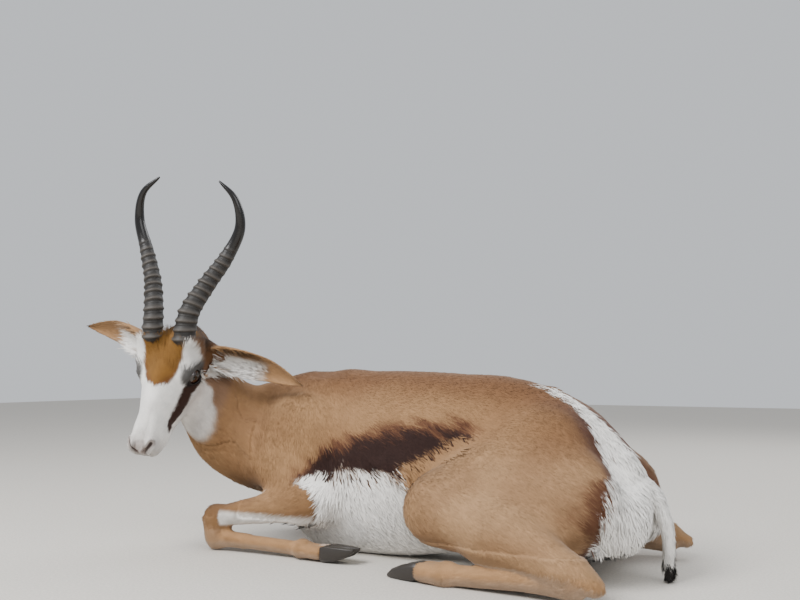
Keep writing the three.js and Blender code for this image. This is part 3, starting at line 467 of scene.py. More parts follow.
def hair_material(name, bump):
    """Short hair: the painted colour, with fine streaks and a little sheen."""
    material, tree, shader = new_material(name)
    paint = add_node(tree, "ShaderNodeVertexColor", layer_name="Coat")
    place = add_node(tree, "ShaderNodeTexCoord")
    fine = add_node(tree, "ShaderNodeTexNoise", Scale=900.0, Detail=3.0, Vector=place.outputs["Object"])
    broad = add_node(tree, "ShaderNodeTexNoise", Scale=55.0, Detail=4.0, Vector=place.outputs["Object"])
    both = add_node(tree, "ShaderNodeMath", operation="MULTIPLY")
    for noise, low, high, socket in ((fine, 0.9, 1.07, 0), (broad, 0.93, 1.05, 1)):
        shade = add_node(tree, "ShaderNodeMapRange", Value=noise.outputs["Fac"], To_Min=low, To_Max=high)
        shade.inputs["From Min"].default_value, shade.inputs["From Max"].default_value = 0.3, 0.7
        tree.links.new(shade.outputs[0], both.inputs[socket])
    tone = add_node(tree, "ShaderNodeVectorMath", operation="SCALE")
    tree.links.new(paint.outputs["Color"], tone.inputs[0])
    tree.links.new(both.outputs[0], tone.inputs["Scale"])
    tree.links.new(tone.outputs[0], shader.inputs["Base Color"])
    shader.inputs["Roughness"].default_value = 0.78
    shader.inputs["Specular IOR Level"].default_value = 0.25
    shader.inputs["Sheen Weight"].default_value = 0.12
    if bump:
        relief = add_node(tree, "ShaderNodeBump", Strength=bump, Distance=0.0006, Height=fine.outputs["Fac"])
        tree.links.new(relief.outputs[0], shader.inputs["Normal"])
    return material


def horn_material():
    """Dark ringed keratin: dusty and rough below, black and polished towards the tip, with a painted
    highlight on the crests of the rings.
    """
    material, tree, shader = new_material("Keratin")
    place = add_node(tree, "ShaderNodeTexCoord")
    polish_and_highlight = add_node(tree, "ShaderNodeVertexColor", layer_name="Coat")
    split = add_node(tree, "ShaderNodeSeparateColor")
    tree.links.new(polish_and_highlight.outputs["Color"], split.inputs[0])
    fine = add_node(tree, "ShaderNodeTexNoise", Scale=420.0, Detail=5.0, Vector=place.outputs["Object"])
    dust = mixed(tree, fine.outputs["Fac"], tuple(linear("0C0B0A")), tuple(linear("211E1C")))
    base = mixed(tree, split.outputs[0], dust, tuple(linear("100E0E")))
    # Painted highlight: the crests of the rings are lightened to a pale grey.
    ridge_highlight = mixed(tree, split.outputs[1], base, tuple(linear("655D55")))
    tree.links.new(ridge_highlight, shader.inputs["Base Color"])
    rough = add_node(tree, "ShaderNodeMapRange", Value=split.outputs[0], To_Min=0.62, To_Max=0.2)
    tree.links.new(rough.outputs[0], shader.inputs["Roughness"])
    relief = add_node(tree, "ShaderNodeBump", Strength=0.35, Distance=0.0005, Height=fine.outputs["Fac"])
    tree.links.new(relief.outputs[0], shader.inputs["Normal"])
    return material


def plain_material(name, colour, roughness, coat=0.0):
    material, tree, shader = new_material(name)
    place = add_node(tree, "ShaderNodeTexCoord")
    grain = add_node(tree, "ShaderNodeTexNoise", Scale=260.0, Detail=4.0, Vector=place.outputs["Object"])
    dark, light = tuple(linear(colour) * 0.75), tuple(linear(colour) * 1.3)
    tree.links.new(mixed(tree, grain.outputs["Fac"], dark, light), shader.inputs["Base Color"])
    shader.inputs["Roughness"].default_value = roughness
    shader.inputs["Coat Weight"].default_value = coat
    return material


def painted_material(name, roughness, coat):
    material, tree, shader = new_material(name)
    paint = add_node(tree, "ShaderNodeVertexColor", layer_name="Coat")
    tree.links.new(paint.outputs["Color"], shader.inputs["Base Color"])
    shader.inputs["Roughness"].default_value = roughness
    shader.inputs["Coat Weight"].default_value = coat
    shader.inputs["Coat Roughness"].default_value = 0.03
    return material


# Each ear: the middle of its root, the way to its tip and the way its cup opens.
EAR_LENGTH = 200.0
EARS = {
    word: (on_head(s * 46, -60, 4), unit(way), unit(np.array(o) - unit(way) * np.dot(unit(way), o)))
    for word, s, way, o in (
        ("left", -1, (0.9, 0.2, -0.3), (0.3, -0.85, -0.42)),
        ("right", 1, (-0.97, 0.06, 0.2), (-0.1, -0.9, -0.35)),
    )
}


def ear_root(word):
    """The fleshy root of an ear, from inside the head to where the cup opens."""
    base, way, opening = EARS[word]
    wide = np.cross(way, opening)
    rings = []
    for along, half, sink in ((-14, 24, 0), (4, 21, 0), (20, 17, 1), (36, 13, 3), (46, 7, 5)):
        angle = np.linspace(0, 2 * math.pi, 20, endpoint=False)[:, None]
        centre = base + way * along - opening * sink
        rings.append(centre + half * (np.cos(angle) * wide + 0.9 * np.sin(angle) * opening))
    return tube(f"root_{word}", rings, base - way * 20, base + way * 49 - opening * 5)


FLESH = ["torso", "neck", "head", "crest"] + [
    f"{part}_{word}" for word, _ in SIDES for part in ("forearm", "fore_shin", "thigh", "hind_shin")
]


class SkinSizes(bpy.types.PropertyGroup):
    """Sizes of the skin."""

    voxel: FloatProperty(name="Cell", description="Cell of the skin's mesh", default=0.0036, unit="LENGTH")
    depth: FloatProperty(name="Depth", description="Coat's depth on the body", default=0.003, unit="LENGTH")
    triangles: IntProperty(name="Triangles", description="Most triangles of the skin", default=188000)
    smoothing: IntProperty(name="Smoothing", description="Rounds of smoothing", default=12)


def eye_frame(word, s):
    """Centre of the eyeball in mm, its radius, and its directions along the lids, across them and out."""
    low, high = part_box(f"eye_{word}")
    centre = (np.array(low) + np.array(high)) / 2 / MM
    radius = (high.z - low.z) / 2 / MM
    out = unit(HEAD @ np.array([s * 0.88, 0.3, 0.3]))
    along = HEAD @ np.array([s * 0.1, 1, 0.25])
    along = unit(along - (along @ out) * out)
    return centre, radius, along, np.cross(out, along), out


# The opening of the lids, in mm.
LID_HALF_LENGTH, LID_HALF_HEIGHT = 14.0, 8.6


def shape_lids(points):
    """Sinks the skin behind each eyeball's opening and raises the rim of the lids round it."""
    for word, s in SIDES:
        centre, radius, along, across, out = eye_frame(word, s)
        off = points - centre
        reach = np.linalg.norm(off, axis=1)
        a, b, w = off @ along, off @ across, off @ out
        e = np.sqrt((a / LID_HALF_LENGTH) ** 2 + (b / LID_HALF_HEIGHT) ** 2)
        near = (w > 0) & (reach < 34)
        rim = radius + 2.0
        edge = smooth_step(0.86, 1.06, e)
        target = (radius - 4) * (1 - edge) + rim * edge
        fade = smooth_step(1.1, 2.0, e)
        fold = 0.9 * np.exp(-(((e - 1.3) / 0.12) ** 2)) - 1.0 * np.exp(-(((e - 1.52) / 0.1) ** 2))
        target = target * (1 - fade) + reach * fade + fold
        target = np.where(near, target, reach)
        points = centre + off * (target / np.maximum(reach, 1e-6))[:, None]
    return points


def shape_muzzle(points, normals):
    """Nostrils, the line of the mouth and the cleft of the upper lip."""
    h = to_head(points)
    shift = np.zeros(len(points))
    for s in (-1, 1):
        pit = path_distance(h, [(s * 6, 150, -10), (s * 11, 149, -4), (s * 18, 141, 3)])
        shift += -5.0 * smooth_step(4.2, 1.0, pit) + 1.5 * np.exp(-(((pit - 6) / 2) ** 2))
    sided = np.c_[np.abs(h[:, 0]), h[:, 1], h[:, 2]]
    lips = path_distance(sided, MOUTH)
    shift += -2.6 * smooth_step(2.6, 0.4, lips) + 1.0 * np.exp(-(((lips - 4.5) / 2) ** 2))
    shift += 4.0 * smooth_step(80, 118, h[:, 1]) * smooth_step(6, 16, sided[:, 0]) * (h[:, 2] > -40)
    cleft = path_distance(sided, [(0, 152, -26), (0, 153, -14)])
    shift += -1.2 * smooth_step(2.2, 0.4, cleft)
    return points + normals * shift[:, None] * (h[:, 1] > 70)[:, None]


def select_near_head(obj, test):
    """Selects the faces whose centre passes a test in the head's frame."""
    mesh = obj.data
    centres = np.empty(len(mesh.polygons) * 3)
    mesh.polygons.foreach_get("center", centres)
    chosen = test(to_head(centres.reshape(-1, 3) / MM))
    mesh.polygons.foreach_set("select", chosen)
    mesh.vertices.foreach_set("select", np.zeros(len(mesh.vertices), bool))
    mesh.edges.foreach_set("select", np.zeros(len(mesh.edges), bool))
    mesh.update()


def refine(obj, test):
    make_active(obj)
    bpy.ops.object.mode_set(mode="EDIT")
    bpy.ops.mesh.select_mode(type="FACE")
    bpy.ops.mesh.select_all(action="DESELECT")
    bpy.ops.object.mode_set(mode="OBJECT")
    select_near_head(obj, test)
    bpy.ops.object.mode_set(mode="EDIT")
    bpy.ops.mesh.subdivide(number_cuts=1, smoothness=0.4)
    bpy.ops.object.mode_set(mode="OBJECT")


class SPRINGBOK_OT_skin(bpy.types.Operator):
    """Fuses the flesh into one smooth skin, with lids, nostrils and mouth, painted with the markings and
    with painted shade round the eyes, beside the stripes, on the cheeks, in the nostrils and along the mouth
    """

    bl_idname = "springbok.skin"
    bl_label = "Skin"

    def execute(self, context):
        sizes = context.scene.springbok_skin
        overlap = 0.5 * MM
        copies = []
        for node in FLESH:
            obj = copy_of(node, f"copy_{node}")
            put_coordinates(obj.data, coordinates(obj.data) + vertex_normals(obj.data) * overlap)
            copies.append(obj)
        copies += [ear_root(word) for word, _ in SIDES]
        deselect()
        for obj in copies:
            obj.select_set(True)
        context.view_layer.objects.active = copies[0]
        bpy.ops.object.join()
        skin = copies[0]
        skin.name = skin.data.name = "skin"
        apply_modifier(skin, "REMESH", mode="VOXEL", voxel_size=sizes.voxel)
        apply_modifier(skin, "SMOOTH", factor=0.5, iterations=sizes.smoothing)
        points = coordinates(skin.data) / MM
        normals = vertex_normals(skin.data)
        slim = (points[:, 2] < 60) & (np.abs(points[:, 1]) > 100)
        head = ahead_of_neck(points) > -10
        depth = np.where(slim | head, 0.35, 1.0) * sizes.depth / MM
        points -= normals * depth[:, None] * smooth_step(2, 12, points[:, 2])[:, None]
        put_coordinates(skin.data, points * MM)

        def on_face(h):
            narrow = (np.abs(h[:, 0]) < 75) & (h[:, 2] > -75) & (h[:, 2] < 70)
            return narrow & (h[:, 1] > -60) & (h[:, 1] < 175)

        def on_features(h):
            muzzle = h[:, 1] > 92
            eyes = np.linalg.norm(np.c_[np.abs(h[:, 0]) - 50, h[:, 1], h[:, 2] - 10], axis=1) < 30
            return on_face(h) & (muzzle | eyes)

        refine(skin, on_face)
        refine(skin, on_features)
        apply_modifier(skin, "TRIANGULATE")
        points = coordinates(skin.data) / MM
        points = shape_lids(points)
        points = shape_muzzle(points, vertex_normals(skin.data))
        put_coordinates(skin.data, points * MM)
        plain = skin.vertex_groups.new(name="plain")
        plain.add(np.flatnonzero(~on_features(to_head(points))).tolist(), 1.0, "REPLACE")
        kept = sizes.triangles / len(triangles(skin.data))
        apply_modifier(skin, "DECIMATE", ratio=min(1.0, kept), vertex_group="plain")
        points = coordinates(skin.data) / MM

        unwrap(skin)
        paint = context.scene.springbok_paint
        colour_vertices(skin.data, coat_colour(points, vertex_normals(skin.data), paint))
        finish_piece(skin, hair_material("Short hair", 0.6), "fur_tan", *FLESH)
        return {"FINISHED"}


# Horns.
def horn_way(s):
    """The way a horn stands on the skull."""
    return HEAD @ unit([s * 0.14, -0.72, 0.69])


# Points of a horn's middle line: out, forward and up from the crown, in mm.
HORN_COURSE = [
    (27, -6, -28),
    (30, 6, 0),
    (34, 7, 58),
    (52, -12, 111),
    (79, -27, 168),
    (98, -24, 221),
    (89, -9, 268),
    (57, -3, 298),
]


class HornSizes(bpy.types.PropertyGroup):
    """Sizes of the horns."""

    radius: FloatProperty(name="Radius", description="At the root", default=0.0218, unit="LENGTH")
    rings: IntProperty(name="Rings", description="Raised rings", default=13)
    ringed: FloatProperty(name="Ringed share", description="Share of the length with rings", default=0.64)
    rise: FloatProperty(name="Ring height", description="Of the rings", default=0.0046, unit="LENGTH")


def smooth_course(stations, count):
    """Points along a centripetal curve through stations, evenly spaced."""
    pts = np.array(stations, float)
    pts = np.vstack([2 * pts[0] - pts[1], pts, 2 * pts[-1] - pts[-2]])
    out = []
    for i in range(1, len(pts) - 2):
        p0, p1, p2, p3 = pts[i - 1 : i + 3]
        t0 = 0.0
        t1 = t0 + np.linalg.norm(p1 - p0) ** 0.5
        t2 = t1 + np.linalg.norm(p2 - p1) ** 0.5
        t3 = t2 + np.linalg.norm(p3 - p2) ** 0.5
        for t in np.linspace(t1, t2, 40, endpoint=False):
            a1 = (t1 - t) / (t1 - t0) * p0 + (t - t0) / (t1 - t0) * p1
            a2 = (t2 - t) / (t2 - t1) * p1 + (t - t1) / (t2 - t1) * p2
            a3 = (t3 - t) / (t3 - t2) * p2 + (t - t2) / (t3 - t2) * p3
            b1 = (t2 - t) / (t2 - t0) * a1 + (t - t0) / (t2 - t0) * a2
            b2 = (t3 - t) / (t3 - t1) * a2 + (t - t1) / (t3 - t1) * a3
            out.append((t2 - t) / (t2 - t1) * b1 + (t - t1) / (t2 - t1) * b2)
    out.append(pts[-2])
    out = np.array(out)
    run = np.r_[0, np.cumsum(np.linalg.norm(np.diff(out, axis=0), axis=1))]
    even = np.linspace(0, run[-1], count)
    return np.c_[[np.interp(even, run, out[:, k]) for k in range(3)]].T


def ring_relief(share, angle, sizes, bold, knob):
    """How far a horn stands out of its plain cone, in mm, and how near each point is to a ring's crest."""
    phase = (share + 0.007 * np.cos(angle + 0.6) - 0.1) / ((sizes.ringed - 0.1) / sizes.rings)
    number = np.clip(np.floor(phase), 0, sizes.rings + 1).astype(int)
    saw = phase - np.floor(phase)
    above, below = np.maximum(saw - 0.5, 0) / 0.3, np.maximum(0.5 - saw, 0) / 0.13
    crest = np.exp(-(above**2) - below**2) + 0.16 * np.exp(-(((saw - 0.12) / 0.05) ** 2))
    fade = smooth_step(0.01, 0.05, share) * smooth_step(sizes.ringed + 0.02, sizes.ringed - 0.1, share)
    front_side = 0.6 + 0.4 * np.cos(angle)
    lumps = 1 + 0.16 * np.cos(3 * angle + knob[number]) + 0.08 * np.cos(7 * angle + 2 * knob[number])
    rise = sizes.rise / MM * crest * fade * front_side * lumps * bold[number] * (1 - 0.7 * share)
    grooves = 0.22 * np.cos(16 * angle) + 0.2 * np.sin(5 * angle + 9 * phase)
    return rise + grooves * fade, crest * fade


class SPRINGBOK_OT_horns(bpy.types.Operator):
    """Sweeps each horn along its lyre curve, with sharp rings below and a smooth tip"""

    bl_idname = "springbok.horns"
    bl_label = "Horns"

    def execute(self, context):
        sizes = context.scene.springbok_horns
        material = horn_material()
        steps, sides = 420, 40
        for word, s in SIDES:
            stations = [CROWN + CROWN_AXES @ np.array([s * o, f, u]) for o, f, u in HORN_COURSE]
            course = smooth_course(stations, steps)
            share = np.linspace(0, 1, steps)
            ways = unit(np.gradient(course, axis=0))
            front = HEAD @ np.array([-s * 0.3, 0.55, 0.8])
            body = (sizes.radius / MM - 1) * np.maximum(1 - share, 0.0) ** 0.6 + 1
            angle = np.linspace(0, 2 * math.pi, sides, endpoint=False)
            rng = np.random.default_rng(21 + s)
            bold = rng.uniform(0.8, 1.15, sizes.rings + 2)
            knob = rng.uniform(0, 2 * math.pi, sizes.rings + 2)
            seat = on_head(s * HORN_SEAT[0], HORN_SEAT[1], HORN_SEAT[2])
            root_way = horn_way(s)
            start = int(np.argmax((course - seat) @ root_way > 1))
            rings, tone = [], []
            for i in range(start, steps):
                f = unit(front - (front @ ways[i]) * ways[i])
                g = np.cross(ways[i], f)
                relief, crest = ring_relief(share[i], angle, sizes, bold, knob)
                foot = 0.62 + 0.38 * smooth_step(-1, 10, (course[i] - seat) @ root_way)
                end = 0.02 if i == steps - 1 else 1.0
                r = (body[i] + relief) * foot * end
                ahead, aside = (np.cos(angle) * r)[:, None], (np.sin(angle) * r * 0.87)[:, None]
                rings.append(course[i] + ahead * f + aside * g)
                polish = smooth_step(sizes.ringed - 0.1, sizes.ringed + 0.06, share[i])
                # The second channel is the painted highlight on the crests of the rings.
                tone.append(np.c_[np.full(sides, polish), 0.38 * crest, np.zeros(sides)])
            tone = np.vstack(tone + [[0, 0, 0], [1, 0, 0]])
            obj = tube(f"horn_{word}_dressed", rings, course[start], course[-1])
            colour_vertices(obj.data, tone)
            finish_piece(obj, material, "horn", f"horn_{word}")
        return {"FINISHED"}


def ear_colour(points, normals, word, paint):
    """Tan outside and at the rim, white within from the root to past the middle."""
    base, way, opening = EARS[word]
    flank, back, white, dark = (linear(getattr(paint, k)) for k in ("flank", "back", "white", "dark"))
    along = (points - base) @ way / EAR_LENGTH + 0.02 * wobble(points, 14, 8)
    inner = smooth_step(0.05, 0.4, normals @ opening)
    wide = np.cross(way, opening)
    across = (points - base) @ wide * (1 if word == "left" else -1)
    out = blend(flank * 1.05, white, inner * smooth_step(0.66, 0.4, along) * smooth_step(-16, -4, across))
    out = blend(out, back, 0.55 * (1 - inner) * smooth_step(0.3, 0.8, along))
    return blend(out, dark * 2 + back * 0.4, 0.55 * smooth_step(0.86, 1.0, along))


class SPRINGBOK_OT_ears(bpy.types.Operator):
    """Rounds each cupped ear, tan outside and white within"""

    bl_idname = "springbok.ears"
    bl_label = "Ears"

    def execute(self, context):
        paint = context.scene.springbok_paint
        material = hair_material("Ear hair", 0.5)
        for word, _ in SIDES:
            obj = copy_of(f"ear_{word}", f"ear_{word}_dressed")
            apply_modifier(obj, "SUBSURF", levels=2, render_levels=2)
            apply_modifier(obj, "TRIANGULATE")
            points = coordinates(obj.data) / MM
            normals = vertex_normals(obj.data)
            colour_vertices(obj.data, ear_colour(points, normals, word, paint))
            unwrap(obj)
            finish_piece(obj, material, "fur_tan", f"ear_{word}")
        return {"FINISHED"}


class EyeSizes(bpy.types.PropertyGroup):
    """Sizes and colours of the eyes."""

    iris: StringProperty(name="Iris", description="Colour of the iris", default="2A1408")
    rim: StringProperty(name="Rim", description="Colour at the edge of the ball", default="1A120E")
    pupil: StringProperty(name="Pupil", description="Colour of the pupil", default="04070A")


# Radius of the iris, and half the length and height of the pupil, in mm.
IRIS_RADIUS, PUPIL_LENGTH, PUPIL_HEIGHT = 12.0, 8.2, 4.6


class SPRINGBOK_OT_eyes(bpy.types.Operator):
    """Makes each eyeball, with a dark iris and a wide oval pupil"""

    bl_idname = "springbok.eyes"
    bl_label = "Eyes"

    def execute(self, context):
        colours = context.scene.springbok_eyes
        material = painted_material("Wet eye", 0.12, 1.0)
        for word, s in SIDES:
            centre, radius, along, across, out = eye_frame(word, s)
            deselect()
            bpy.ops.mesh.primitive_uv_sphere_add(segments=64, ring_count=48, radius=radius * MM)
            obj = context.object
            obj.name = obj.data.name = f"eye_{word}_dressed"
            points = coordinates(obj.data) / MM
            a, b, w = points.T
            iris = smooth_step(IRIS_RADIUS + 0.5, IRIS_RADIUS - 0.5, np.hypot(a, b)) * (w > 0)
            pupil = smooth_step(1.1, 0.95, np.hypot(a / PUPIL_LENGTH, b / PUPIL_HEIGHT)) * (w > 0)
            tone = blend(linear(colours.rim), linear(colours.iris), iris)
            tone = blend(tone, linear(colours.pupil), pupil)
            put_coordinates(obj.data, (centre + points @ np.array([along, across, out])) * MM)
            colour_vertices(obj.data, tone)
            finish_piece(obj, material, "eye", f"eye_{word}")
        return {"FINISHED"}


CLAWS = [
    f"{leg}_claw_{place}_{word}"
    for word, _ in SIDES
    for leg in ("fore", "hind")
    for place in ("outer", "inner")
]


class SPRINGBOK_OT_claws(bpy.types.Operator):
    """Rounds the edges of the eight claws"""

    bl_idname = "springbok.claws"
    bl_label = "Claws"

    def execute(self, context):
        material = plain_material("Hoof", "2A2521", 0.42)
        for name in CLAWS:
            obj = copy_of(name, f"{name}_dressed")
            apply_modifier(obj, "BEVEL", width=0.0012, segments=2, limit_method="ANGLE")
            finish_piece(obj, material, "hoof", name)
        return {"FINISHED"}


class SPRINGBOK_OT_tail(bpy.types.Operator):
    """Smooths the tail: white above, black at the tuft"""

    bl_idname = "springbok.tail"
    bl_label = "Tail"

    def execute(self, context):
        paint = context.scene.springbok_paint
        obj = copy_of("tail", "tail_dressed")
        apply_modifier(obj, "SUBSURF", levels=1, render_levels=1)
        apply_modifier(obj, "TRIANGULATE")
        points = coordinates(obj.data) / MM
        tuft = smooth_step(44, 30, points[:, 2] + 3 * wobble(points, 9, 5))
        colour_vertices(obj.data, blend(linear(paint.white), linear(paint.dark), tuft))
        unwrap(obj)
        finish_piece(obj, hair_material("Tail hair", 0.5), "fur_white", "tail")
        return {"FINISHED"}


# The coat.
class CoatSizes(bpy.types.PropertyGroup):
    """Sizes of the coat."""

    short: IntProperty(name="Short tufts", description="Number of small tufts", default=240000)
    long: IntProperty(name="Long tufts", description="Number of bent locks", default=30000)
    length: FloatProperty(name="Length", description="Of body hair", default=0.0125, unit="LENGTH")
    seed: IntProperty(name="Seed", description="Of the random draws", default=4)


def long_hair(points):
    """Where the hair is long, from 0 to 1: belly, rump and brisket."""
    x, y, z = points.T
    side = np.abs(y - MIDLINE)
    belly = smooth_step(6, -6, belly_edge(points)) * (side < 125) * (x > -60) * (x < 325) * (z > 12)
    leg = (side > 108) & (z < 84) & (x < 60)
    belly = belly * ~leg
    rump = smooth_step(-6, 8, rump_edge(points)) * (x > 385)
    brisket = smooth_step(-30, -80, x) * smooth_step(150, 110, z) * (side < 90)
    return np.maximum(np.maximum(belly, rump), 0.6 * brisket)


def horn_collar(points):
    """How near points are to the foot of a horn, 0 to 1, and the way that horn stands."""
    share, way = np.zeros(len(points)), np.zeros_like(points)
    for s in (-1, 1):
        seat = on_head(s * HORN_SEAT[0], HORN_SEAT[1], HORN_SEAT[2])
        gap, _ = segment_distance(points, seat - 20 * horn_way(s), seat + 30 * horn_way(s))
        near = smooth_step(41, 29, gap)
        way += near[:, None] * horn_way(s)
        share = np.maximum(share, near)
    return share[:, None], way


def hair_scale(points):
    """Length of the short hair at points, as a share of the body's."""
    _, y, z = points.T
    side = np.abs(y - MIDLINE)
    h = to_head(points)
    size = np.ones(len(points))
    legs = ((side > 96) & (z < 60)) | ((side > 150) & (z < 80))
    size = np.where(legs, 0.62, size)
    near = ahead_of_neck(points) > -20
    face = np.interp(h[:, 1], [-80, -40, 0, 60, 150], [0.95, 0.62, 0.46, 0.4, 0.28])
    return np.where(near, face, size)


class Surface:
    """A skin that hair is sampled on: its corners, normals, places in OFBake and areas, all in mm."""

    def __init__(self, obj):
        mesh = obj.data
        self.points, self.normals = coordinates(mesh) / MM, vertex_normals(mesh)
        self.tris = triangles(mesh)
        loops = np.empty(len(self.tris) * 3, dtype=np.int32)
        mesh.loop_triangles.foreach_get("loops", loops)
        uv = np.empty(len(mesh.loops) * 2)
        mesh.uv_layers["OFBake"].data.foreach_get("uv", uv)
        self.uv = uv.reshape(-1, 2)[loops].reshape(-1, 3, 2)
        self.corners = self.points[self.tris]
        c = self.corners
        self.area = 0.5 * np.linalg.norm(np.cross(c[:, 1] - c[:, 0], c[:, 2] - c[:, 0]), axis=1)
        self.middle = c.mean(1)

    def sample(self, count, weight, rng):
        """Roots, normals and places in OFBake of hair spread by weight."""
        weight = weight * self.area
        chosen = rng.choice(len(self.tris), size=count, p=weight / weight.sum())
        bary = rng.dirichlet((1, 1, 1), size=count)[:, :, None]
        roots = (self.corners[chosen] * bary).sum(1)
        ups = unit((self.normals[self.tris[chosen]] * bary).sum(1))
        return roots, ups, (self.uv[chosen] * bary).sum(1)


def astray(ways, ups, amount, rng):
    """Turns the hair's directions a little to either side."""
    return unit(ways + np.cross(ups, ways) * rng.normal(0, amount, len(ways))[:, None])


def hair_mesh(name, verts, pattern, tones, uvs, spread, lean, material, slot):
    """One object of closed tufts that share a pattern of triangles and are lit as the skin below them is."""
    n, k = verts.shape[:2]
    verts[..., 2] = np.maximum(verts[..., 2], HAIR_FLOOR)
    faces = (np.arange(n)[:, None, None] * k + np.array(pattern)[None]).reshape(-1, 3)
    mesh = bpy.data.meshes.new(name)
    mesh.vertices.add(n * k)
    mesh.vertices.foreach_set("co", (verts * MM).ravel())
    mesh.loops.add(len(faces) * 3)
    mesh.loops.foreach_set("vertex_index", faces.ravel().astype(np.int32))
    mesh.polygons.add(len(faces))
    mesh.polygons.foreach_set("loop_start", np.arange(0, len(faces) * 3, 3, dtype=np.int32))
    mesh.update(calc_edges=True)
    mesh.validate()
    colour_vertices(mesh, np.clip(tones.reshape(-1, 3), 0, 1))
    layer = mesh.uv_layers.new(name="OFBake")
    places = (uvs[:, None, :] + np.array(spread)[None] * HALF_PATCH).reshape(-1, 2)
    layer.data.foreach_set("uv", places[faces.ravel()].ravel())
    obj = bpy.data.objects.new(name, mesh)
    bpy.context.scene.collection.objects.link(obj)
    finish_piece(obj, material, slot)
    mesh.normals_split_custom_set_from_vertices(unit(lean).reshape(-1, 3))
    return obj


def short_tufts(name, roots, ups, ways, size, width, colours, uvs, rng, material, slot):
    """Small closed spikes of four triangles that lie close to the skin."""
    n = len(roots)
    side = np.cross(ups, ways)
    half = (width / 2)[:, None]
    tip = roots + ways * size[:, None] + ups * (size * rng.uniform(0.03, 0.12, n))[:, None]
    tip += side * (rng.normal(0, 0.06, n) * size)[:, None]
    base = roots - ups * 0.5
    verts = np.stack([base - side * half, base + side * half, roots + ups * 0.45 + ways * half, tip], axis=1)
    # Painted shade: each tuft is darker at its root and lighter at its tip.
    painted_root_shade = np.array([0.9, 0.9, 0.97, 1.03])
    tones = colours[:, None, :] * painted_root_shade[None, :, None] * rng.uniform(0.95, 1.05, n)[:, None, None]
    pattern = [(0, 2, 1), (0, 1, 3), (1, 2, 3), (2, 0, 3)]
    turned = [-0.35, 0.35, 0, 0.1]
    lean = np.stack([ups + side * t + ways * 0.1 for t in turned], axis=1)
    spread = [(-1, -1), (1, -1), (0, 0), (0, 1)]
    return hair_mesh(name, verts, pattern, tones, uvs, spread, lean, material, slot)


def long_tufts(name, roots, ups, ways, size, width, colours, uvs, rng, material, slot):
    """Bent closed locks of ten triangles: three points at the root, three at the middle, one tip."""
    n = len(roots)
    side = np.cross(ups, ways)
    lift = rng.uniform(0.08, 0.22, n)[:, None] * size[:, None]
    sway = (rng.normal(0, 0.09, n) * size)[:, None]
    mid = roots + ways * (size * 0.5)[:, None] + ups * (lift * 0.62) + side * sway * 0.3
    tip = roots + ways * size[:, None] + ups * lift * 0.5 + side * sway
    half = (width / 2)[:, None]
    base = roots - ups * 0.7
    verts = np.stack(
        [
            base - side * half,
            base + side * half,
            roots + ups * 0.7,
            mid - side * half,
            mid + side * half,
            mid + ups * 0.35 * half,
            tip,
        ],
        axis=1,
    )
    pattern = [(0, 2, 1), (0, 1, 4), (0, 4, 3), (1, 2, 5), (1, 5, 4)]
    pattern += [(2, 0, 3), (2, 3, 5), (3, 4, 6), (4, 5, 6), (5, 3, 6)]
    # Painted shade: each lock is darker at its root and lighter at its tip.
    painted_root_shade = np.array([0.84, 0.84, 0.92, 0.98, 0.98, 1.0, 1.04])
    tones = colours[:, None, :] * painted_root_shade[None, :, None] * rng.uniform(0.94, 1.05, n)[:, None, None]
    spread = [(-1, -1), (1, -1), (0, -0.6), (-1, 0), (1, 0), (0, 0.2), (0, 1)]
    turned = [-0.5, 0.5, 0, -0.6, 0.6, 0, 0.1]
    lean = np.stack([ups + side * t + ways * 0.15 for t in turned], axis=1)
    return hair_mesh(name, verts, pattern, tones, uvs, spread, lean, material, slot)


def in_pieces(count, name, make, values, rng, material, slot):
    """Makes tufts as several objects, split along the body so that none is too large."""
    order = np.argsort(values[0][:, 0], kind="stable")
    for i, part in enumerate(np.array_split(order, count)):
        make(f"{name}_{i + 1}", *(value[part] for value in values), rng, material, slot)


def bare_skin(points):
    """Lids, lips, nostrils, the nose pad and what lies on the floor."""
    h = to_head(points)
    bare = points[:, 2] < 1.5
    for word, s in SIDES:
        centre, _, along, across, out = eye_frame(word, s)
        off = points - centre
        e = np.sqrt(((off @ along) / LID_HALF_LENGTH) ** 2 + ((off @ across) / LID_HALF_HEIGHT) ** 2)
        bare |= (e < 1.3) & ((off @ out) > 0) & (np.linalg.norm(off, axis=1) < 30)
        pit = path_distance(h, [(s * 6, 150, -10), (s * 11, 149, -4), (s * 18, 141, 3)])
        bare |= pit < 5
    sided = np.c_[np.abs(h[:, 0]), h[:, 1], h[:, 2]]
    bare |= path_distance(sided, MOUTH) < 2.2
    bare |= (h[:, 1] > 144) & (np.abs(h[:, 0]) < 7) & (h[:, 2] > -22) & (ahead_of_neck(points) > 0)
    return bare


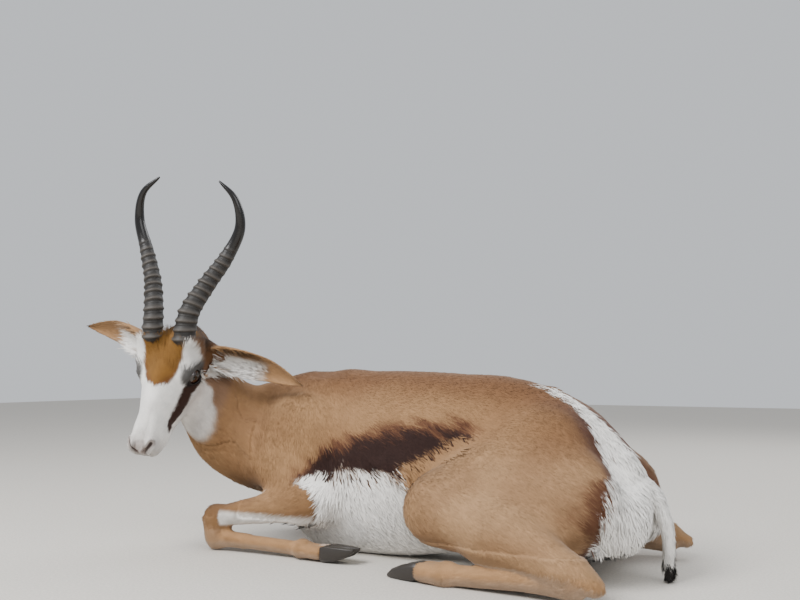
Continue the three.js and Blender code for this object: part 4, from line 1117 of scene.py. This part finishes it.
class SPRINGBOK_OT_coat(bpy.types.Operator):
    """Covers the skin with small tufts, and with long bent locks at the belly, rump and brisket"""

    bl_idname = "springbok.coat"
    bl_label = "Coat"

    def execute(self, context):
        sizes = context.scene.springbok_coat
        paint = context.scene.springbok_paint
        rng = np.random.default_rng(sizes.seed)
        skin = Surface(bpy.data.objects["skin"])
        bare = bare_skin(skin.middle)
        material = hair_material("Coat hair", 0.0)
        unit_length = sizes.length / MM

        share = hair_scale(skin.middle)
        roots, ups, uvs = skin.sample(sizes.short, np.where(bare, 0, share**-1.4), rng)
        size = hair_scale(roots) * unit_length * rng.uniform(0.75, 1.2, sizes.short)
        size *= 0.4 + 0.6 * np.clip(roots[:, 2] / 8, 0, 1)
        width = size * rng.uniform(0.1, 0.15, sizes.short)
        ways = hair_lay(roots, ups)
        ways = astray(ways, ups, 0.12, rng)
        collar, stand = horn_collar(roots)
        ways = unit(ways * (1 - collar) + stand + 0.5 * ups * collar)
        size = size + 7 * collar[:, 0]
        width = width + 0.3 * collar[:, 0]
        look = roots - ways * (rng.uniform(-0.2, 0.5, sizes.short) * size)[:, None]
        colours = coat_colour(look, ups, paint, rng.normal(0, 2.2, sizes.short) * np.minimum(1, size / 9))
        hair = (roots, ups, ways, size, width, colours, uvs)
        in_pieces(5, "coat", short_tufts, hair, rng, material, "fur_tan")

        count = sizes.long
        roots, ups, uvs = skin.sample(count, np.where(bare, 0, long_hair(skin.middle)), rng)
        where = long_hair(roots)
        size = unit_length * (1.1 + 0.9 * where) * rng.uniform(0.7, 1.2, count)
        size = np.minimum(size, 6 + roots[:, 2])
        width = size * rng.uniform(0.075, 0.12, count)
        ways = hair_lay(roots, ups)
        drop = np.array([0.0, 0.0, -0.7]) * smooth_step(200, 100, roots[:, 2])[:, None]
        ways = unit(ways + drop - ((ways + drop) * ups).sum(1, keepdims=True) * ups)
        ways = astray(ways, ups, 0.2, rng)
        look = roots - ways * (rng.uniform(-0.1, 0.4, count) * size)[:, None]
        colours = coat_colour(look, ups, paint, rng.normal(0, 3, count))
        hair = (roots, ups, ways, size, width, colours, uvs)
        in_pieces(2, "long_hair", long_tufts, hair, rng, material, "fur_white")
        return {"FINISHED"}


class SPRINGBOK_OT_trim(bpy.types.Operator):
    """Adds the hair of the ears and the white and black hair of the tail"""

    bl_idname = "springbok.trim"
    bl_label = "Ear and tail hair"

    def execute(self, context):
        paint = context.scene.springbok_paint
        rng = np.random.default_rng(9)
        material = hair_material("Trim hair", 0.0)
        for word, _ in SIDES:
            ear = Surface(bpy.data.objects[f"ear_{word}_dressed"])
            base, way, opening = EARS[word]
            n = 9000
            roots, ups, uvs = ear.sample(n, np.ones(len(ear.area)), rng)
            ways = unit(way - (ups @ way)[:, None] * ups)
            ways = astray(ways, ups, 0.15, rng)
            size = rng.uniform(4.5, 7.5, n)
            colours = ear_colour(roots, ups, word, paint)
            hair = (roots, ups, ways, size, size * 0.14, colours, uvs, rng)
            short_tufts(f"ear_hair_{word}", *hair, material, "fur_tan")
            inside = smooth_step(0.1, 0.5, ear.normals[ear.tris[:, 0]] @ opening)
            near = smooth_step(0.65, 0.1, (ear.middle - base) @ way / EAR_LENGTH)
            n = 1300
            roots, ups, uvs = ear.sample(n, inside * near + 1e-9, rng)
            ways = unit(way * 0.8 + ups * 0.35)
            size = rng.uniform(12, 22, n)
            colours = ear_colour(roots, ups, word, paint)
            hair = (roots, ups, ways, size, size * 0.07, colours, uvs, rng)
            long_tufts(f"ear_tuft_{word}", *hair, material, "fur_white")
        tail = Surface(bpy.data.objects["tail_dressed"])
        n = 9000
        roots, ups, uvs = tail.sample(n, np.ones(len(tail.area)), rng)
        down = np.array([0.25, 0, -1.0]) * smooth_step(150, 120, roots[:, 2])[:, None]
        down = down + np.array([1.0, 0, -0.3]) * smooth_step(120, 150, roots[:, 2])[:, None]
        ways = unit(down - 0.75 * (down * ups).sum(1, keepdims=True) * ups)
        ways = astray(ways, ups, 0.12, rng)
        size = rng.uniform(14, 26, n)
        size = np.minimum(size, 3 + roots[:, 2] * 0.95)
        tuft = smooth_step(46, 34, roots[:, 2] + rng.normal(0, 4, n))
        colours = blend(linear(paint.white), linear(paint.dark), tuft)
        hair = (roots, ups, ways, size, size * 0.07, colours, uvs, rng)
        long_tufts("tail_hair", *hair, material, "fur_white")
        return {"FINISHED"}


class StageSizes(bpy.types.PropertyGroup):
    """Floor, light and camera."""

    floor: FloatProperty(name="Floor", description="Width of the floor", default=14.0, unit="LENGTH")
    key: FloatProperty(name="Key light", description="Power of the main light", default=138.0, unit="POWER")
    fill: FloatProperty(name="Fill light", description="Power of the others", default=36.0, unit="POWER")
    lens: FloatProperty(name="Lens", description="Focal length", default=42.75, subtype="DISTANCE_CAMERA")


# Where the camera stands, in metres, and how far it turns from +Y and looks up, in degrees.
CAMERA_PLACE, CAMERA_TURN, CAMERA_PITCH = (0.998, -1.468, 0.32), 30, 4.2
LIGHT_AIM = Vector((0.15, 0, 0.15))


class SPRINGBOK_OT_stage(bpy.types.Operator):
    """Lays a pale floor and sets soft lights and the camera"""

    bl_idname = "springbok.stage"
    bl_label = "Stage"

    def execute(self, context):
        sizes = context.scene.springbok_stage
        deselect()
        bpy.ops.mesh.primitive_plane_add(size=sizes.floor, location=(0, 0, 0))
        floor = context.object
        floor.name = floor.data.name = "floor"
        floor.data.transform(Matrix.Translation((0, 0, -0.0004)))
        floor.data.materials.append(plain_material("Pale floor", "C9C4BC", 0.9))
        world = bpy.data.worlds.new("Sky")
        context.scene.world = world
        world.use_nodes = True
        world.node_tree.nodes["Background"].inputs[0].default_value = (0.86, 0.89, 0.93, 1)
        world.node_tree.nodes["Background"].inputs[1].default_value = 0.8
        for name, place, power, size in (
            ("key", (-0.6, -2.2, 2.4), sizes.key, 1.6),
            ("fill", (2.6, -1.2, 1.4), sizes.fill, 2.2),
            ("back", (0.8, 2.4, 2.2), sizes.fill, 1.8),
        ):
            light = bpy.data.lights.new(name, "AREA")
            light.energy, light.size = power, size
            obj = bpy.data.objects.new(name, light)
            context.scene.collection.objects.link(obj)
            obj.location = place
            obj.rotation_euler = (LIGHT_AIM - Vector(place)).to_track_quat("-Z", "Y").to_euler()
        camera = bpy.data.cameras.new("camera")
        camera.lens, camera.sensor_width, camera.clip_start = sizes.lens, 36, 0.05
        obj = bpy.data.objects.new("camera", camera)
        context.scene.collection.objects.link(obj)
        obj.location = CAMERA_PLACE
        turn, pitch = math.radians(CAMERA_TURN), math.radians(CAMERA_PITCH)
        way = Vector((-math.sin(turn) * math.cos(pitch), math.cos(turn) * math.cos(pitch), math.sin(pitch)))
        obj.rotation_euler = way.to_track_quat("-Z", "Y").to_euler()
        context.scene.camera = obj
        return {"FINISHED"}


GROUPS = (
    ("springbok_paint", Paint),
    ("springbok_skin", SkinSizes),
    ("springbok_horns", HornSizes),
    ("springbok_eyes", EyeSizes),
    ("springbok_coat", CoatSizes),
    ("springbok_stage", StageSizes),
)
OPERATORS = (
    SPRINGBOK_OT_skin,
    SPRINGBOK_OT_ears,
    SPRINGBOK_OT_horns,
    SPRINGBOK_OT_eyes,
    SPRINGBOK_OT_claws,
    SPRINGBOK_OT_tail,
    SPRINGBOK_OT_coat,
    SPRINGBOK_OT_trim,
    SPRINGBOK_OT_stage,
)


class SPRINGBOK_PT_panel(bpy.types.Panel):
    """Lists the pieces of the springbok"""

    bl_idname = "SPRINGBOK_PT_panel"
    bl_label = "Springbok"
    bl_space_type = "VIEW_3D"
    bl_region_type = "UI"
    bl_category = "Springbok"

    def draw(self, context):
        for operator in OPERATORS:
            self.layout.operator(operator.bl_idname)
        for name, group in GROUPS:
            box = self.layout.box()
            for key in group.__annotations__:
                box.prop(getattr(context.scene, name), key)


def register():
    for name, group in GROUPS:
        bpy.utils.register_class(group)
        setattr(bpy.types.Scene, name, bpy.props.PointerProperty(type=group))
    for cls in (*OPERATORS, SPRINGBOK_PT_panel):
        bpy.utils.register_class(cls)


def unregister():
    for cls in (SPRINGBOK_PT_panel, *reversed(OPERATORS)):
        bpy.utils.unregister_class(cls)
    for name, group in reversed(GROUPS):
        delattr(bpy.types.Scene, name)
        bpy.utils.unregister_class(group)


def main():
    register()
    for operator in OPERATORS:
        space, name = operator.bl_idname.split(".")
        getattr(getattr(bpy.ops, space), name)()


if __name__ == "__main__":
    main()
